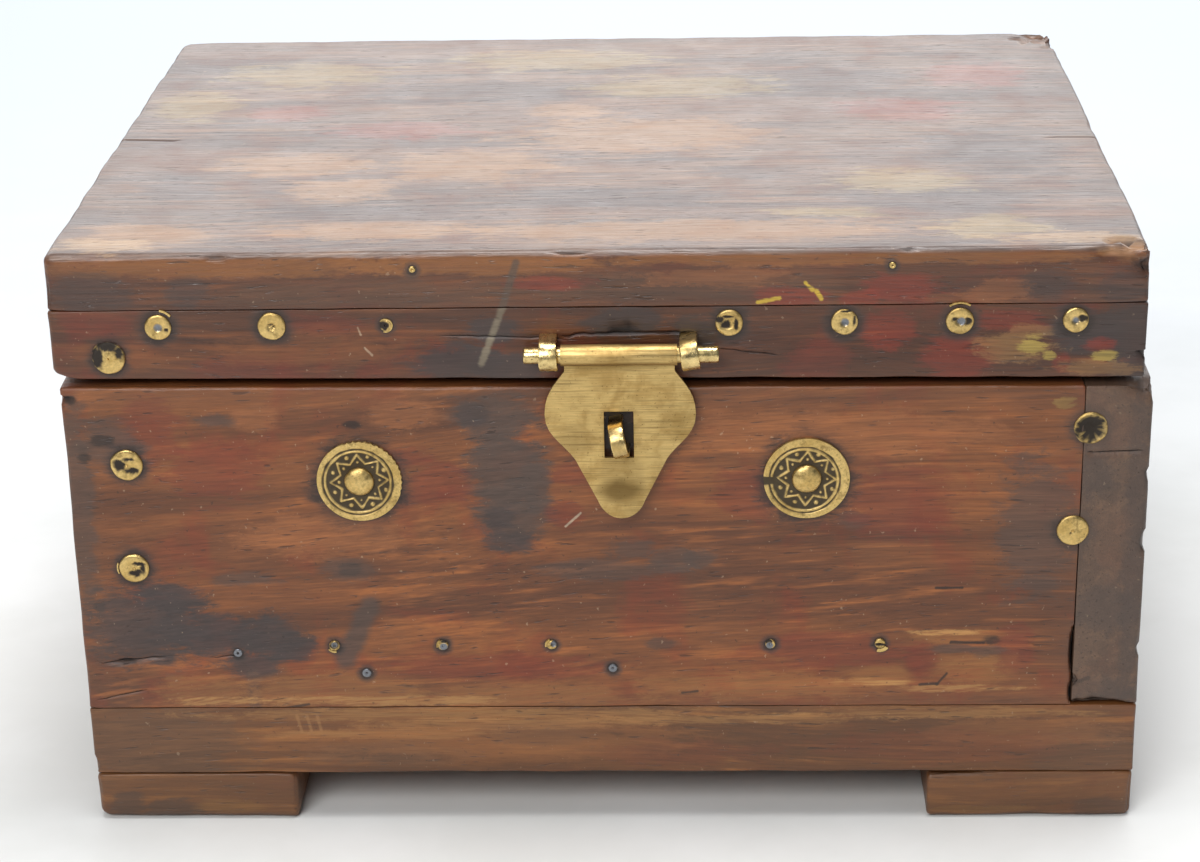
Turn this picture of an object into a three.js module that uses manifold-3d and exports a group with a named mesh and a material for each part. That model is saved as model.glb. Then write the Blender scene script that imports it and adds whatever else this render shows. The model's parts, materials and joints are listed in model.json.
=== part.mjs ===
// A small hand-made wooden box with a hinged lid: five carcass boards on four corner blocks, a framed lid with
// a thick top board, a brass hasp that closes over a strap staple, two brass hinges, studs, nails and rosettes.
// Millimetres, +Z up, front towards -Y. The carcass stands on its feet at z = 0.
import * as THREE from "three";
import { mergeVertices } from "three/addons/utils/BufferGeometryUtils.js";
import Module from "manifold-3d";

const wasm = await Module();
wasm.setup();

// Carcass
const bodyWidth = 280;
const bodyDepth = 218;
const wallThickness = 17.5;
const wallHeight = 92.5;
const baseThickness = 20;
const footHeight = 14;
const footWidth = 55;
const footDepth = 50;
const footCornerRadius = 6;
const boardEase = 1.1;

// Lid
const lidWidth = 278.4;
const lidShift = -2; // the lid sits a little to the left of the carcass
const lidRailThickness = 17.5;
const lidRailHeight = 20.5;
const lidTopThickness = 15;
const lidTopCorner = 5;
const lidTopEase = 2.4;
const lidLift = 1.6; // the lid has warped and stands open by this much at its front right corner

// Hasp, its pin and the two straps that hold the pin
const haspShift = 4.2; // from the carcass centre
const pinRadius = 2.15;
const pinSlip = 0.5; // the pin has slipped this far to the right in its straps
const pinLength = 49.5;
const pinStandoff = 5; // pin axis in front of the lid
const pinHeight = 9.5; // pin axis above the lid's lower edge
const barrelClearance = 0.08;
const barrelWall = 0.5;
const barrelLength = 29.4;
const plateThickness = 1;
const plateNeckHalf = 14;
const plateNeckDrop = 5;
const plateWidestHalf = 19.3;
const plateWidestDrop = 16.8;
const plateWaistHalf = 11.7;
const plateWaistDrop = 29.2;
const plateTipRadius = 6.4;
const plateDrop = 45;
const plateCurl = 1.6; // the tip bends forward by this much
const plateCurlLength = 6;
const slotWidth = 7.6;
const slotHeight = 12.8;
const slotDrop = 22.4; // slot centre below the pin axis
const slotShift = -0.4; // the slot was cut a little to the left
const strapWidth = 4.6;
const strapThickness = 1.1;
const strapClearance = 0.75;
const strapGap = 0.9; // between a strap and the end of the barrel
const strapClench = 4.2;
const strapLean = [-1, -8]; // degrees, left and right, negative leans to the left

// Staple that the hasp closes over
const stapleReach = 10;
const stapleHeight = 9.4;
const stapleWidth = 3.8;
const stapleThickness = 1.2;
const stapleClench = 6;
const stapleLean = -11.5; // degrees
const stapleDrop = 23; // below the pin axis

// Hinges
const hingeInset = 65; // middle of a hinge from the end of the carcass
const hingeWidth = 34;
const hingeLeafHeight = 17;
const hingeLeafThickness = 1.2;
const hingeBarrelRadius = 2.7;
const hingePinRadius = 1.3;
const hingeStandoff = 2.9; // hinge axis behind the carcass
const hingeBoreClearance = 0.12;
const hingeKnuckleGap = 0.3;
const hingeNailSpacing = 20;
const hingeNailDrop = 11;

// Studs, nails and rosettes
const shankRadius = 1;
const lidStudRadius = 3.9;
const frontStudRadius = 4.4;
const studHeight = 1.3;
const studSink = 0.6;
const lidStudLength = 12;
const jointStudLength = 28;
const lidStudPlaces = 9;
const lidRowLeftInset = 28.2; // first and last stud of the lid's row, from the lid's ends
const lidRowRightInset = 18.1;
const lidStudBelowSeam = 4.4;
const cornerStudInset = 15;
const cornerStudRise = 8;
const nailRadius = 1.5;
const nailLength = 13;
const lowRowPlaces = 7;
const lowRowLeftInset = 67.2; // first and last nail of the low row, from the front board's ends
const lowRowRightInset = 22;
const lowRowRise = 18.5;
const ironNailRadius = 1.3;
const topPinRadius = 0.9;
const topPinLeftInset = 93.6; // from the lid's ends
const topPinRightInset = 64.3;
const topPinRise = 10.5;
const hingeNailRadius = 2.2;
const hingeNailHeight = 0.9;
const rosetteRadius = 11.2;
const rosetteThickness = 1;
const rosetteRelief = 0.45;
const rosettePoints = 8;
const rosetteDrop = 26.5; // centre below the rim
const leftRosetteGap = 67.9; // centres from the middle of the hasp
const rightRosetteGap = 47.7;
const bossRadius = 4;
const bossHeight = 1.6;
const bossLength = 15;
const pointLength = 2; // taper at the end of every shank

const fit = 0.3; // clearance round everything that is let into wood

// Levels and faces that follow from the sizes above
const seatLevel = footHeight + baseThickness;
const rimLevel = seatLevel + wallHeight;
const lidSeamLevel = rimLevel + lidRailHeight;
const lidTopLevel = lidSeamLevel + lidTopThickness;
const frontFace = -bodyDepth / 2;
const backFace = bodyDepth / 2;
const pinLevel = rimLevel + pinHeight;
const pinLine = frontFace - pinStandoff;
const hingeLine = backFace + hingeStandoff;

const wood = new THREE.MeshStandardMaterial({ color: 0x5d3a22, roughness: 0.55, metalness: 0 });
const topWood = new THREE.MeshStandardMaterial({ color: 0x6f5648, roughness: 0.42, metalness: 0 });
const footWood = new THREE.MeshStandardMaterial({ color: 0x5a3820, roughness: 0.6, metalness: 0 });
const brass = new THREE.MeshStandardMaterial({ color: 0xa88b4c, roughness: 0.35, metalness: 1 });
const iron = new THREE.MeshStandardMaterial({ color: 0x6b6a68, roughness: 0.6, metalness: 1 });

// A closed three.js geometry as a solid that can be cut and joined.
function solidOf(geometry) {
  const bare = new THREE.BufferGeometry();
  const flat = geometry.index ? geometry.toNonIndexed() : geometry;
  bare.setAttribute("position", flat.getAttribute("position").clone());
  const merged = mergeVertices(bare, 1e-4);
  return new wasm.Manifold(
    new wasm.Mesh({
      numProp: 3,
      vertProperties: merged.attributes.position.array,
      triVerts: new Uint32Array(merged.index.array),
    }),
  );
}

function geometryOf(solid) {
  const mesh = solid.getMesh();
  const geometry = new THREE.BufferGeometry();
  geometry.setAttribute("position", new THREE.BufferAttribute(new Float32Array(mesh.vertProperties), 3));
  geometry.setIndex(new THREE.BufferAttribute(new Uint32Array(mesh.triVerts), 1));
  const faceted = geometry.toNonIndexed();
  faceted.computeVertexNormals();
  return faceted;
}

function join(...geometries) {
  return geometryOf(geometries.map(solidOf).reduce((whole, next) => whole.add(next)));
}

function cutAway(geometry, ...tools) {
  return geometryOf(tools.map(solidOf).reduce((whole, tool) => whole.subtract(tool), solidOf(geometry)));
}

function piece(name, geometry, material, [x, y, z]) {
  const mesh = new THREE.Mesh(geometry, material);
  mesh.name = name;
  mesh.position.set(x, y, z);
  return mesh;
}

// Cuts holes for tools, which are placed as the board is, out of a board.
function letInto(board, ...tools) {
  const offset = board.position.clone().negate();
  const placed = tools.map((tool) => {
    tool.updateMatrix();
    return tool.geometry.clone().applyMatrix4(tool.matrix).translate(...offset);
  });
  board.geometry = cutAway(board.geometry, ...placed);
}

// A closed outline with its corners rounded, drawn from the middle of one side to the next.
function roundedOutline(corners, radii) {
  const shape = new THREE.Shape();
  corners.forEach(([x, y], i) => {
    const corner = new THREE.Vector2(x, y);
    const before = new THREE.Vector2(...corners.at(i - 1));
    const after = new THREE.Vector2(...corners[(i + 1) % corners.length]);
    const start = corner.clone().add(before.sub(corner).setLength(radii[i]));
    const end = corner.clone().add(after.sub(corner).setLength(radii[i]));
    if (i) shape.lineTo(start.x, start.y);
    else shape.moveTo(start.x, start.y);
    shape.quadraticCurveTo(x, y, end.x, end.y);
  });
  shape.closePath();
  return shape;
}

// A board with eased edges: its broad outline is drawn to size, and depth is its thickness, centred on it.
function easedBoard(corners, depth, ease, cornerRadius = ease) {
  const centreX = corners.reduce((sum, [x]) => sum + x, 0) / corners.length;
  const centreY = corners.reduce((sum, [, y]) => sum + y, 0) / corners.length;
  const inner = corners.map(([x, y]) => [x - Math.sign(x - centreX) * ease, y - Math.sign(y - centreY) * ease]);
  const shape = roundedOutline(inner, corners.map(() => Math.max(cornerRadius - ease, 0.3)));
  const geometry = new THREE.ExtrudeGeometry(shape, {
    depth: depth - 2 * ease,
    bevelEnabled: true,
    bevelThickness: ease,
    bevelSize: ease,
    bevelSegments: 2,
    curveSegments: 3,
  });
  return geometry.translate(0, 0, ease - depth / 2);
}

function rectangle(width, height) {
  return [
    [-width / 2, -height / 2],
    [width / 2, -height / 2],
    [width / 2, height / 2],
    [-width / 2, height / 2],
  ];
}

// Turn an outline drawn in x and y to stand up: facing the front, or running front to back.
const facingFront = (geometry) => geometry.rotateX(Math.PI / 2);
const sideways = new THREE.Matrix4().makeBasis(
  new THREE.Vector3(0, 1, 0),
  new THREE.Vector3(0, 0, 1),
  new THREE.Vector3(1, 0, 0),
);
const runningBack = (geometry) => geometry.applyMatrix4(sideways);

function turned(profile, segments) {
  return new THREE.LatheGeometry(
    profile.map(([radius, along]) => new THREE.Vector2(radius, along)),
    segments,
  );
}

// A plain round bar along X.
function barAlongX(radius, length, segments) {
  return new THREE.CylinderGeometry(radius, radius, length, segments).rotateZ(Math.PI / 2);
}

const box = new THREE.Group();
const carcass = new THREE.Group();
const lid = new THREE.Group();
const hasp = new THREE.Group();
box.add(carcass, lid, hasp);

// Carcass boards, each butted against the next round the corner: the front board covers the end of the left
// board, and the right board covers the end of the front one.
const wallCentre = seatLevel + wallHeight / 2;
const endLength = bodyWidth - wallThickness;
const sideLength = bodyDepth - wallThickness;
const frontBoard = piece(
  "front_board",
  facingFront(easedBoard(rectangle(endLength, wallHeight), wallThickness, boardEase)),
  wood,
  [-wallThickness / 2, frontFace + wallThickness / 2, wallCentre],
);
const backBoard = piece(
  "back_board",
  facingFront(easedBoard(rectangle(endLength, wallHeight), wallThickness, boardEase)),
  wood,
  [wallThickness / 2, backFace - wallThickness / 2, wallCentre],
);
const leftBoard = piece(
  "left_side_board",
  runningBack(easedBoard(rectangle(sideLength, wallHeight), wallThickness, boardEase)),
  wood,
  [-bodyWidth / 2 + wallThickness / 2, wallThickness / 2, wallCentre],
);
const rightBoard = piece(
  "right_side_board",
  runningBack(easedBoard(rectangle(sideLength, wallHeight), wallThickness, boardEase)),
  wood,
  [bodyWidth / 2 - wallThickness / 2, -wallThickness / 2, wallCentre],
);
const bottomBoard = piece(
  "bottom_board",
  easedBoard(rectangle(bodyWidth, bodyDepth), baseThickness, boardEase),
  wood,
  [0, 0, footHeight + baseThickness / 2],
);
carcass.add(frontBoard, backBoard, leftBoard, rightBoard, bottomBoard);

// Corner blocks under the bottom board, worn round at their outer lower edge.
for (const [side, towardsX] of [["left", -1], ["right", 1]]) {
  for (const [end, towardsY] of [["front", -1], ["back", 1]]) {
    const half = footWidth / 2;
    const corners = [
      [-half, 0],
      [half, 0],
      [half, footHeight],
      [-half, footHeight],
    ];
    const lowerRadii = towardsX < 0 ? [footCornerRadius, boardEase] : [boardEase, footCornerRadius];
    const shape = roundedOutline(corners, [...lowerRadii, boardEase, boardEase]);
    const block = new THREE.ExtrudeGeometry(shape, { depth: footDepth, bevelEnabled: false, curveSegments: 5 });
    const foot = piece(
      `foot_${end}_${side}`,
      facingFront(block.translate(0, 0, -footDepth / 2)),
      footWood,
      [towardsX * (bodyWidth - footWidth) / 2, towardsY * (bodyDepth - footDepth) / 2, 0],
    );
    carcass.add(foot);
  }
}

// Lid: a frame of four rails under a thick top board. The front and back rails cover the ends of the side rails.
const lidLeft = lidShift - lidWidth / 2;
const lidRight = lidShift + lidWidth / 2;
const railSpan = bodyDepth - 2 * lidRailThickness;

function liftedRail(length, liftAtStart, liftAtEnd) {
  const corners = [
    [-length / 2, liftAtStart],
    [length / 2, liftAtEnd],
    [length / 2, lidRailHeight],
    [-length / 2, lidRailHeight],
  ];
  return easedBoard(corners, lidRailThickness, boardEase);
}
// The lift falls to nothing at the hinged back, so it grows towards the front of the right rail.
const liftAlongSide = (y) => (lidLift * (backFace - y)) / bodyDepth;
const frontRail = piece(
  "lid_front_rail",
  facingFront(liftedRail(lidWidth, 0, lidLift)),
  wood,
  [lidShift, frontFace + lidRailThickness / 2, rimLevel],
);
const backRail = piece(
  "lid_back_rail",
  facingFront(liftedRail(lidWidth, 0, 0)),
  wood,
  [lidShift, backFace - lidRailThickness / 2, rimLevel],
);
const leftRail = piece(
  "lid_left_rail",
  runningBack(liftedRail(railSpan, 0, 0)),
  wood,
  [lidLeft + lidRailThickness / 2, 0, rimLevel],
);
const rightRail = piece(
  "lid_right_rail",
  runningBack(liftedRail(railSpan, liftAlongSide(-railSpan / 2), liftAlongSide(railSpan / 2))),
  wood,
  [lidRight - lidRailThickness / 2, 0, rimLevel],
);
const topBoard = piece(
  "lid_top_board",
  easedBoard(rectangle(lidWidth, bodyDepth), lidTopThickness, lidTopEase, lidTopCorner),
  topWood,
  [lidShift, 0, lidSeamLevel + lidTopThickness / 2],
);
lid.add(frontRail, backRail, leftRail, rightRail, topBoard);

// Studs and nails. Each is turned about its own length, with its head towards -Y and its point towards +Y.
// Their wood is bored to take the shank and sunk to take the head.
function studGeometry(headRadius, length) {
  const seat = studSink;
  const crown = studSink - studHeight;
  return turned(
    [
      [0, crown + 0.5],
      [headRadius * 0.28, crown + 0.5],
      [headRadius * 0.4, crown],
      [headRadius * 0.72, crown + 0.08],
      [headRadius * 0.94, crown + 0.5],
      [headRadius, seat],
      [shankRadius, seat],
      [shankRadius, length - pointLength],
      [0, length],
    ],
    16,
  );
}

function nailGeometry(headRadius, proud, sink, length, segments = 10) {
  return turned(
    [
      [0, -proud],
      [headRadius * 0.62, -proud * 0.75],
      [headRadius, 0],
      [headRadius, sink],
      [shankRadius * 0.8, sink],
      [shankRadius * 0.8, length - pointLength],
      [0, length],
    ],
    segments,
  );
}

// The hole that a stud or nail needs: a shank bore and a shallow seat for the head.
function boreFor(headRadius, sink, length, [x, y, z], backwards = false) {
  const seatRadius = headRadius + fit;
  const geometry = turned(
    [
      [0, -1],
      [seatRadius, -1],
      [seatRadius, sink],
      [shankRadius + fit, sink],
      [shankRadius + fit, length + fit],
      [0, length + fit],
    ],
    12,
  );
  const tool = piece("bore", geometry, wood, [x, y, z]);
  if (backwards) tool.rotation.z = Math.PI;
  return tool;
}

function addStud(name, owner, boards, headRadius, x, z, length) {
  owner.add(piece(name, studGeometry(headRadius, length), brass, [x, frontFace, z]));
  const bore = () => boreFor(headRadius, studSink, length, [x, frontFace, z]);
  boards.forEach((board) => letInto(board, bore()));
}

function addNail(name, owner, board, material, headRadius, proud, sink, x, z) {
  owner.add(piece(name, nailGeometry(headRadius, proud, sink, nailLength), material, [x, frontFace, z]));
  letInto(board, boreFor(headRadius, sink, nailLength, [x, frontFace, z]));
}

// Lid studs stand in one row at an even pitch. Two of the row are lost near the hasp, and one has worn to a pin.
const lidRowStart = lidLeft + lidRowLeftInset;
const lidRowPitch = (lidRight - lidRowRightInset - lidRowStart) / (lidStudPlaces - 1);
const lidRowLevel = lidSeamLevel - lidStudBelowSeam;
const fullLidStuds = [0, 1, 5, 6, 7, 8];
const wornLidStud = 2;
for (const place of fullLidStuds) {
  const x = lidRowStart + place * lidRowPitch;
  addStud(`lid_stud_${place + 1}`, lid, [frontRail], lidStudRadius, x, lidRowLevel, lidStudLength);
}
addNail(
  `lid_stud_${wornLidStud + 1}_worn`,
  lid,
  frontRail,
  brass,
  nailRadius,
  0.2,
  0.6,
  lidRowStart + wornLidStud * lidRowPitch,
  lidRowLevel,
);
addStud(
  "lid_corner_stud",
  lid,
  [frontRail, leftRail],
  frontStudRadius,
  lidLeft + cornerStudInset,
  rimLevel + cornerStudRise,
  jointStudLength,
);

// Four studs nail the front board's ends, beside the joint lines.
const jointLine = bodyWidth / 2 - wallThickness;
const frontStuds = [
  { name: "front_stud_upper_left", x: -jointLine - 1.6, drop: 21.7, sideBoard: leftBoard },
  { name: "front_stud_lower_left", x: -jointLine - 1.9, drop: 51.1, sideBoard: leftBoard },
  { name: "front_stud_upper_right", x: jointLine + 1.7, drop: 13.2, sideBoard: rightBoard },
  { name: "front_stud_lower_right", x: jointLine - 1.7, drop: 41.7, sideBoard: rightBoard },
];
for (const { name, x, drop, sideBoard } of frontStuds) {
  addStud(name, carcass, [frontBoard, sideBoard], frontStudRadius, x, rimLevel - drop, jointStudLength);
}

// Nails low on the front board, worn flush, two of them lost, and three later iron nails.
const boardLeft = -bodyWidth / 2;
const lowRowStart = boardLeft + lowRowLeftInset;
const lowRowPitch = (jointLine - lowRowRightInset - lowRowStart) / (lowRowPlaces - 1);
for (const place of [0, 1, 2, 4, 5]) {
  const x = lowRowStart + place * lowRowPitch;
  addNail(`front_nail_${place + 1}`, carcass, frontBoard, brass, nailRadius, 0.2, 0.6, x, seatLevel + lowRowRise);
}
const ironNails = [
  { name: "iron_nail_left", inset: 41.3, rise: 16.4 },
  { name: "iron_nail_middle", inset: 75.4, rise: 10.3 },
  { name: "iron_nail_right", inset: 141, rise: 11.5 },
];
for (const { name, inset, rise } of ironNails) {
  addNail(name, carcass, frontBoard, iron, ironNailRadius, 0.15, 0.5, boardLeft + inset, seatLevel + rise);
}
// Two small pins in the front edge of the top board.
for (const [side, x] of [["left", lidLeft + topPinLeftInset], ["right", lidRight - topPinRightInset]]) {
  addNail(`top_pin_${side}`, lid, topBoard, brass, topPinRadius, 0.2, 0.5, x, lidSeamLevel + topPinRise);
}

// Rosettes: a pressed disc with a rim, a ring and a star in relief, held by a nail with a broad domed head.
function ringOnDisc(outer, inner, rise) {
  return turned(
    [
      [inner, 0.1],
      [outer, 0.1],
      [outer, -rosetteThickness - rise],
      [inner, -rosetteThickness - rise],
      [inner, 0.1],
    ].reverse(),
    32,
  );
}

function starLine() {
  const tip = rosetteRadius * 0.79;
  const valley = rosetteRadius * 0.55;
  const lineWidth = 0.5;
  const star = (grow) => {
    const points = [];
    for (let i = 0; i < 2 * rosettePoints; i += 1) {
      const radius = (i % 2 ? valley : tip) + grow;
      const angle = (i * Math.PI) / rosettePoints + Math.PI / 2;
      points.push(new THREE.Vector2(radius * Math.cos(angle), radius * Math.sin(angle)));
    }
    return points;
  };
  const shape = new THREE.Shape(star(0));
  shape.holes.push(new THREE.Path(star(-lineWidth * 1.5)));
  const depth = rosetteThickness + rosetteRelief;
  return facingFront(new THREE.ExtrudeGeometry(shape, { depth, bevelEnabled: false }));
}

function starDots() {
  const dots = [];
  const depth = rosetteThickness + rosetteRelief;
  for (let i = 0; i < 2 * rosettePoints; i += 1) {
    const outer = i % 2 === 1;
    const radius = rosetteRadius * (outer ? 0.73 : 0.5);
    const angle = (i * Math.PI) / rosettePoints + Math.PI / 2;
    const dot = new THREE.CylinderGeometry(outer ? 0.5 : 0.35, outer ? 0.6 : 0.45, depth, 6);
    dots.push(dot.rotateX(0).translate(radius * Math.cos(angle), -depth / 2, radius * Math.sin(angle)));
  }
  return dots;
}

function rosetteGeometry() {
  const disc = new THREE.CylinderGeometry(rosetteRadius, rosetteRadius, rosetteThickness, 32);
  const whole = join(
    disc.translate(0, -rosetteThickness / 2, 0),
    ringOnDisc(rosetteRadius - 0.01, rosetteRadius * 0.89, rosetteRelief).translate(0, -0.1, 0),
    ringOnDisc(rosetteRadius * 0.86, rosetteRadius * 0.8, rosetteRelief * 0.8).translate(0, -0.1, 0),
    starLine(),
    ...starDots(),
  );
  const bore = new THREE.CylinderGeometry(shankRadius + fit, shankRadius + fit, 8, 12);
  return cutAway(whole, bore);
}

function bossGeometry() {
  const top = -rosetteThickness - bossHeight;
  const seat = -rosetteThickness;
  const length = bossLength;
  return turned(
    [
      [0, top],
      [bossRadius * 0.5, top + 0.12],
      [bossRadius * 0.86, top + 0.55],
      [bossRadius, seat - 0.3],
      [bossRadius, seat],
      [shankRadius, seat],
      [shankRadius, length - pointLength],
      [0, length],
    ],
    16,
  );
}

for (const [side, x] of [["left", haspShift - leftRosetteGap], ["right", haspShift + rightRosetteGap]]) {
  const place = [x, frontFace, rimLevel - rosetteDrop];
  carcass.add(piece(`rosette_${side}`, rosetteGeometry(), brass, place));
  carcass.add(piece(`rosette_nail_${side}`, bossGeometry(), brass, place));
  letInto(frontBoard, boreFor(shankRadius, 0, bossLength, place));
}

// A strip of brass bent into a long U: it passes round the front, runs back through the wood between the two
// faces, and its ends are bent apart against the inner face. Drawn from the side, x back and y up.
function bentStrip({ reach, radius, thickness, woodThickness, clench, width }) {
  const inner = radius - thickness;
  const innerFace = woodThickness;
  const behind = innerFace + thickness;
  const nose = -reach + radius;
  const shape = new THREE.Shape();
  shape.moveTo(innerFace, radius + clench);
  shape.lineTo(innerFace, radius);
  shape.lineTo(nose, radius);
  shape.absarc(nose, 0, radius, Math.PI / 2, (3 * Math.PI) / 2, false);
  shape.lineTo(innerFace, -radius);
  shape.lineTo(innerFace, -radius - clench);
  shape.lineTo(behind, -radius - clench);
  shape.lineTo(behind, -inner);
  shape.lineTo(nose, -inner);
  shape.absarc(nose, 0, inner, (3 * Math.PI) / 2, Math.PI / 2, true);
  shape.lineTo(behind, inner);
  shape.lineTo(behind, radius + clench);
  shape.closePath();
  const strip = new THREE.ExtrudeGeometry(shape, { depth: width, bevelEnabled: false, curveSegments: 12 });
  return runningBack(strip.translate(0, 0, -width / 2));
}

function stripHole(radius, width, woodThickness) {
  const through = 2 * fit;
  return new THREE.BoxGeometry(width + 2 * fit, woodThickness + through, 2 * radius + 2 * fit).translate(
    0,
    woodThickness / 2,
    0,
  );
}

function addStrip(name, owner, board, position, lean, options) {
  const strip = piece(name, bentStrip(options), brass, position);
  strip.rotation.y = THREE.MathUtils.degToRad(lean);
  owner.add(strip);
  const hole = piece("hole", stripHole(options.radius, options.width, options.woodThickness), wood, position);
  hole.rotation.y = strip.rotation.y;
  letInto(board, hole);
}

// Straps at both ends of the hasp's barrel hold its pin on the lid's front rail.
const strapRadius = pinRadius + strapClearance + strapThickness;
const strapLine = barrelLength / 2 + strapGap + strapWidth / 2;
for (const [index, side] of ["left", "right"].entries()) {
  const towardsX = index ? 1 : -1;
  addStrip(
    `hasp_strap_${side}`,
    lid,
    frontRail,
    [haspShift + towardsX * strapLine, frontFace, pinLevel],
    strapLean[index],
    {
      reach: pinStandoff + strapRadius,
      radius: strapRadius,
      thickness: strapThickness,
      woodThickness: lidRailThickness,
      clench: strapClench,
      width: strapWidth,
    },
  );
}

// The staple on the carcass that comes through the hasp's slot and takes a padlock.
addStrip("lock_staple", carcass, frontBoard, [haspShift + slotShift, frontFace, pinLevel - stapleDrop], stapleLean, {
  reach: stapleReach,
  radius: stapleHeight / 2,
  thickness: stapleThickness,
  woodThickness: wallThickness,
  clench: stapleClench,
  width: stapleWidth,
});

// Hasp pin: a plain brass rod with its ends eased.
const pinEase = 0.35;
lid.add(
  piece(
    "hasp_pin",
    turned(
      [
        [0, -pinLength / 2],
        [pinRadius - pinEase, -pinLength / 2],
        [pinRadius, -pinLength / 2 + pinEase],
        [pinRadius, pinLength / 2 - pinEase],
        [pinRadius - pinEase, pinLength / 2],
        [0, pinLength / 2],
      ],
      16,
    ).rotateZ(Math.PI / 2),
    brass,
    [haspShift + pinSlip, pinLine, pinLevel],
  ),
);

// Hasp plate: a shield-shaped leaf that hangs behind a barrel rolled round the pin, with its tip bent forward.
function shieldOutline() {
  const tipCentre = -plateDrop + plateTipRadius;
  const shape = new THREE.Shape();
  shape.moveTo(-plateNeckHalf, 0);
  shape.lineTo(-plateNeckHalf, -plateNeckDrop);
  shape.bezierCurveTo(
    -plateNeckHalf - 2,
    -plateNeckDrop - 3,
    -plateWidestHalf,
    -plateWidestDrop + 6,
    -plateWidestHalf,
    -plateWidestDrop,
  );
  shape.bezierCurveTo(
    -plateWidestHalf,
    -plateWidestDrop - 6,
    -plateWaistHalf - 2.6,
    -plateWaistDrop + 4.2,
    -plateWaistHalf,
    -plateWaistDrop,
  );
  // the sides run on nearly straight and meet the round tip on its own slope
  const tipSlope = Math.PI / 9;
  shape.lineTo(-plateTipRadius * Math.cos(tipSlope), tipCentre - plateTipRadius * Math.sin(tipSlope));
  shape.absarc(0, tipCentre, plateTipRadius, Math.PI + tipSlope, 1.5 * Math.PI, false);
  const left = shape.getPoints(7);
  const right = left
    .slice(0, -1)
    .reverse()
    .map((point) => new THREE.Vector2(-point.x, point.y));
  const outline = new THREE.Shape([...left, ...right]);
  const slotTop = -slotDrop + slotHeight / 2;
  const slotBottom = -slotDrop - slotHeight / 2;
  outline.holes.push(
    new THREE.Path(
      [
        [-slotWidth / 2, slotTop],
        [slotWidth / 2, slotTop],
        [slotWidth / 2, slotBottom],
        [-slotWidth / 2, slotBottom],
      ].map(([x, y]) => new THREE.Vector2(x + slotShift, y)),
    ),
  );
  return outline;
}

function haspGeometry() {
  const barrelRadius = pinRadius + barrelClearance + barrelWall;
  const leaf = facingFront(
    new THREE.ExtrudeGeometry(shieldOutline(), { depth: plateThickness, bevelEnabled: false }),
  ).translate(0, barrelRadius, 0);
  const places = leaf.getAttribute("position");
  const curlStart = -plateDrop + plateCurlLength;
  for (let i = 0; i < places.count; i += 1) {
    const below = Math.max(curlStart - places.getZ(i), 0) / plateCurlLength;
    places.setY(i, places.getY(i) - plateCurl * below ** 2);
  }
  const barrel = barAlongX(barrelRadius, barrelLength, 20);
  const bore = barAlongX(pinRadius + barrelClearance, barrelLength + 2, 20);
  return cutAway(join(leaf, barrel), bore);
}
hasp.add(piece("hasp_plate", haspGeometry(), brass, [haspShift, pinLine, pinLevel]));

// Hinges on the back: two leaves with interleaved knuckles on a pin, nailed to the back board and the lid.
function leafGeometry(upwards, ownKnuckles, otherKnuckles) {
  const toFace = -hingeStandoff;
  const leafShape = roundedOutline(
    [
      [-hingeWidth / 2, 0],
      [hingeWidth / 2, 0],
      [hingeWidth / 2, upwards * hingeLeafHeight],
      [-hingeWidth / 2, upwards * hingeLeafHeight],
    ],
    [0.4, 0.4, 2, 2],
  );
  const flat = new THREE.ExtrudeGeometry(leafShape, {
    depth: hingeLeafThickness,
    bevelEnabled: false,
    curveSegments: 3,
  });
  const leaf = facingFront(flat).translate(0, toFace + hingeLeafThickness, 0);
  const knuckle = ([from, to], radius) => barAlongX(radius, to - from, 16).translate((from + to) / 2, 0, 0);
  const spread = ([from, to]) => [from - hingeKnuckleGap, to + hingeKnuckleGap];
  const whole = join(
    cutAway(leaf, ...otherKnuckles.map((span) => knuckle(spread(span), hingeBarrelRadius + hingeKnuckleGap))),
    ...ownKnuckles.map((span) => knuckle(span, hingeBarrelRadius)),
  );
  const nailHoles = [-1, 1].map((towardsX) =>
    new THREE.CylinderGeometry(shankRadius + fit, shankRadius + fit, 8, 10).translate(
      (towardsX * hingeNailSpacing) / 2,
      toFace,
      upwards * hingeNailDrop,
    ),
  );
  const bore = barAlongX(hingePinRadius + hingeBoreClearance, hingeWidth + 2, 16);
  return cutAway(whole, bore, ...nailHoles);
}

const third = hingeWidth / 3;
const middleKnuckle = [[-third / 2, third / 2]];
const outerKnuckles = [
  [-hingeWidth / 2, -third / 2 - hingeKnuckleGap],
  [third / 2 + hingeKnuckleGap, hingeWidth / 2],
];
const hingeX = bodyWidth / 2 - hingeInset;
for (const [side, x] of [["left", -hingeX], ["right", hingeX]]) {
  const place = [x, hingeLine, rimLevel];
  carcass.add(piece(`hinge_${side}_body_leaf`, leafGeometry(-1, outerKnuckles, middleKnuckle), brass, place));
  lid.add(piece(`hinge_${side}_lid_leaf`, leafGeometry(1, middleKnuckle, outerKnuckles), brass, place));
  carcass.add(piece(`hinge_${side}_pin`, barAlongX(hingePinRadius, hingeWidth + 1, 16), brass, place));
  for (const [owner, board, part, upwards] of [[carcass, backBoard, "body", -1], [lid, backRail, "lid", 1]]) {
    for (const [hand, towardsX] of [["a", -1], ["b", 1]]) {
      const at = [x + (towardsX * hingeNailSpacing) / 2, backFace, rimLevel + upwards * hingeNailDrop];
      const nail = piece(
        `hinge_${side}_${part}_nail_${hand}`,
        nailGeometry(hingeNailRadius, hingeNailHeight, 0, nailLength).translate(0, -hingeLeafThickness, 0),
        brass,
        at,
      );
      nail.rotation.z = Math.PI;
      owner.add(nail);
      letInto(board, boreFor(shankRadius, 0, nailLength, at, true));
    }
  }
}

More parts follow.
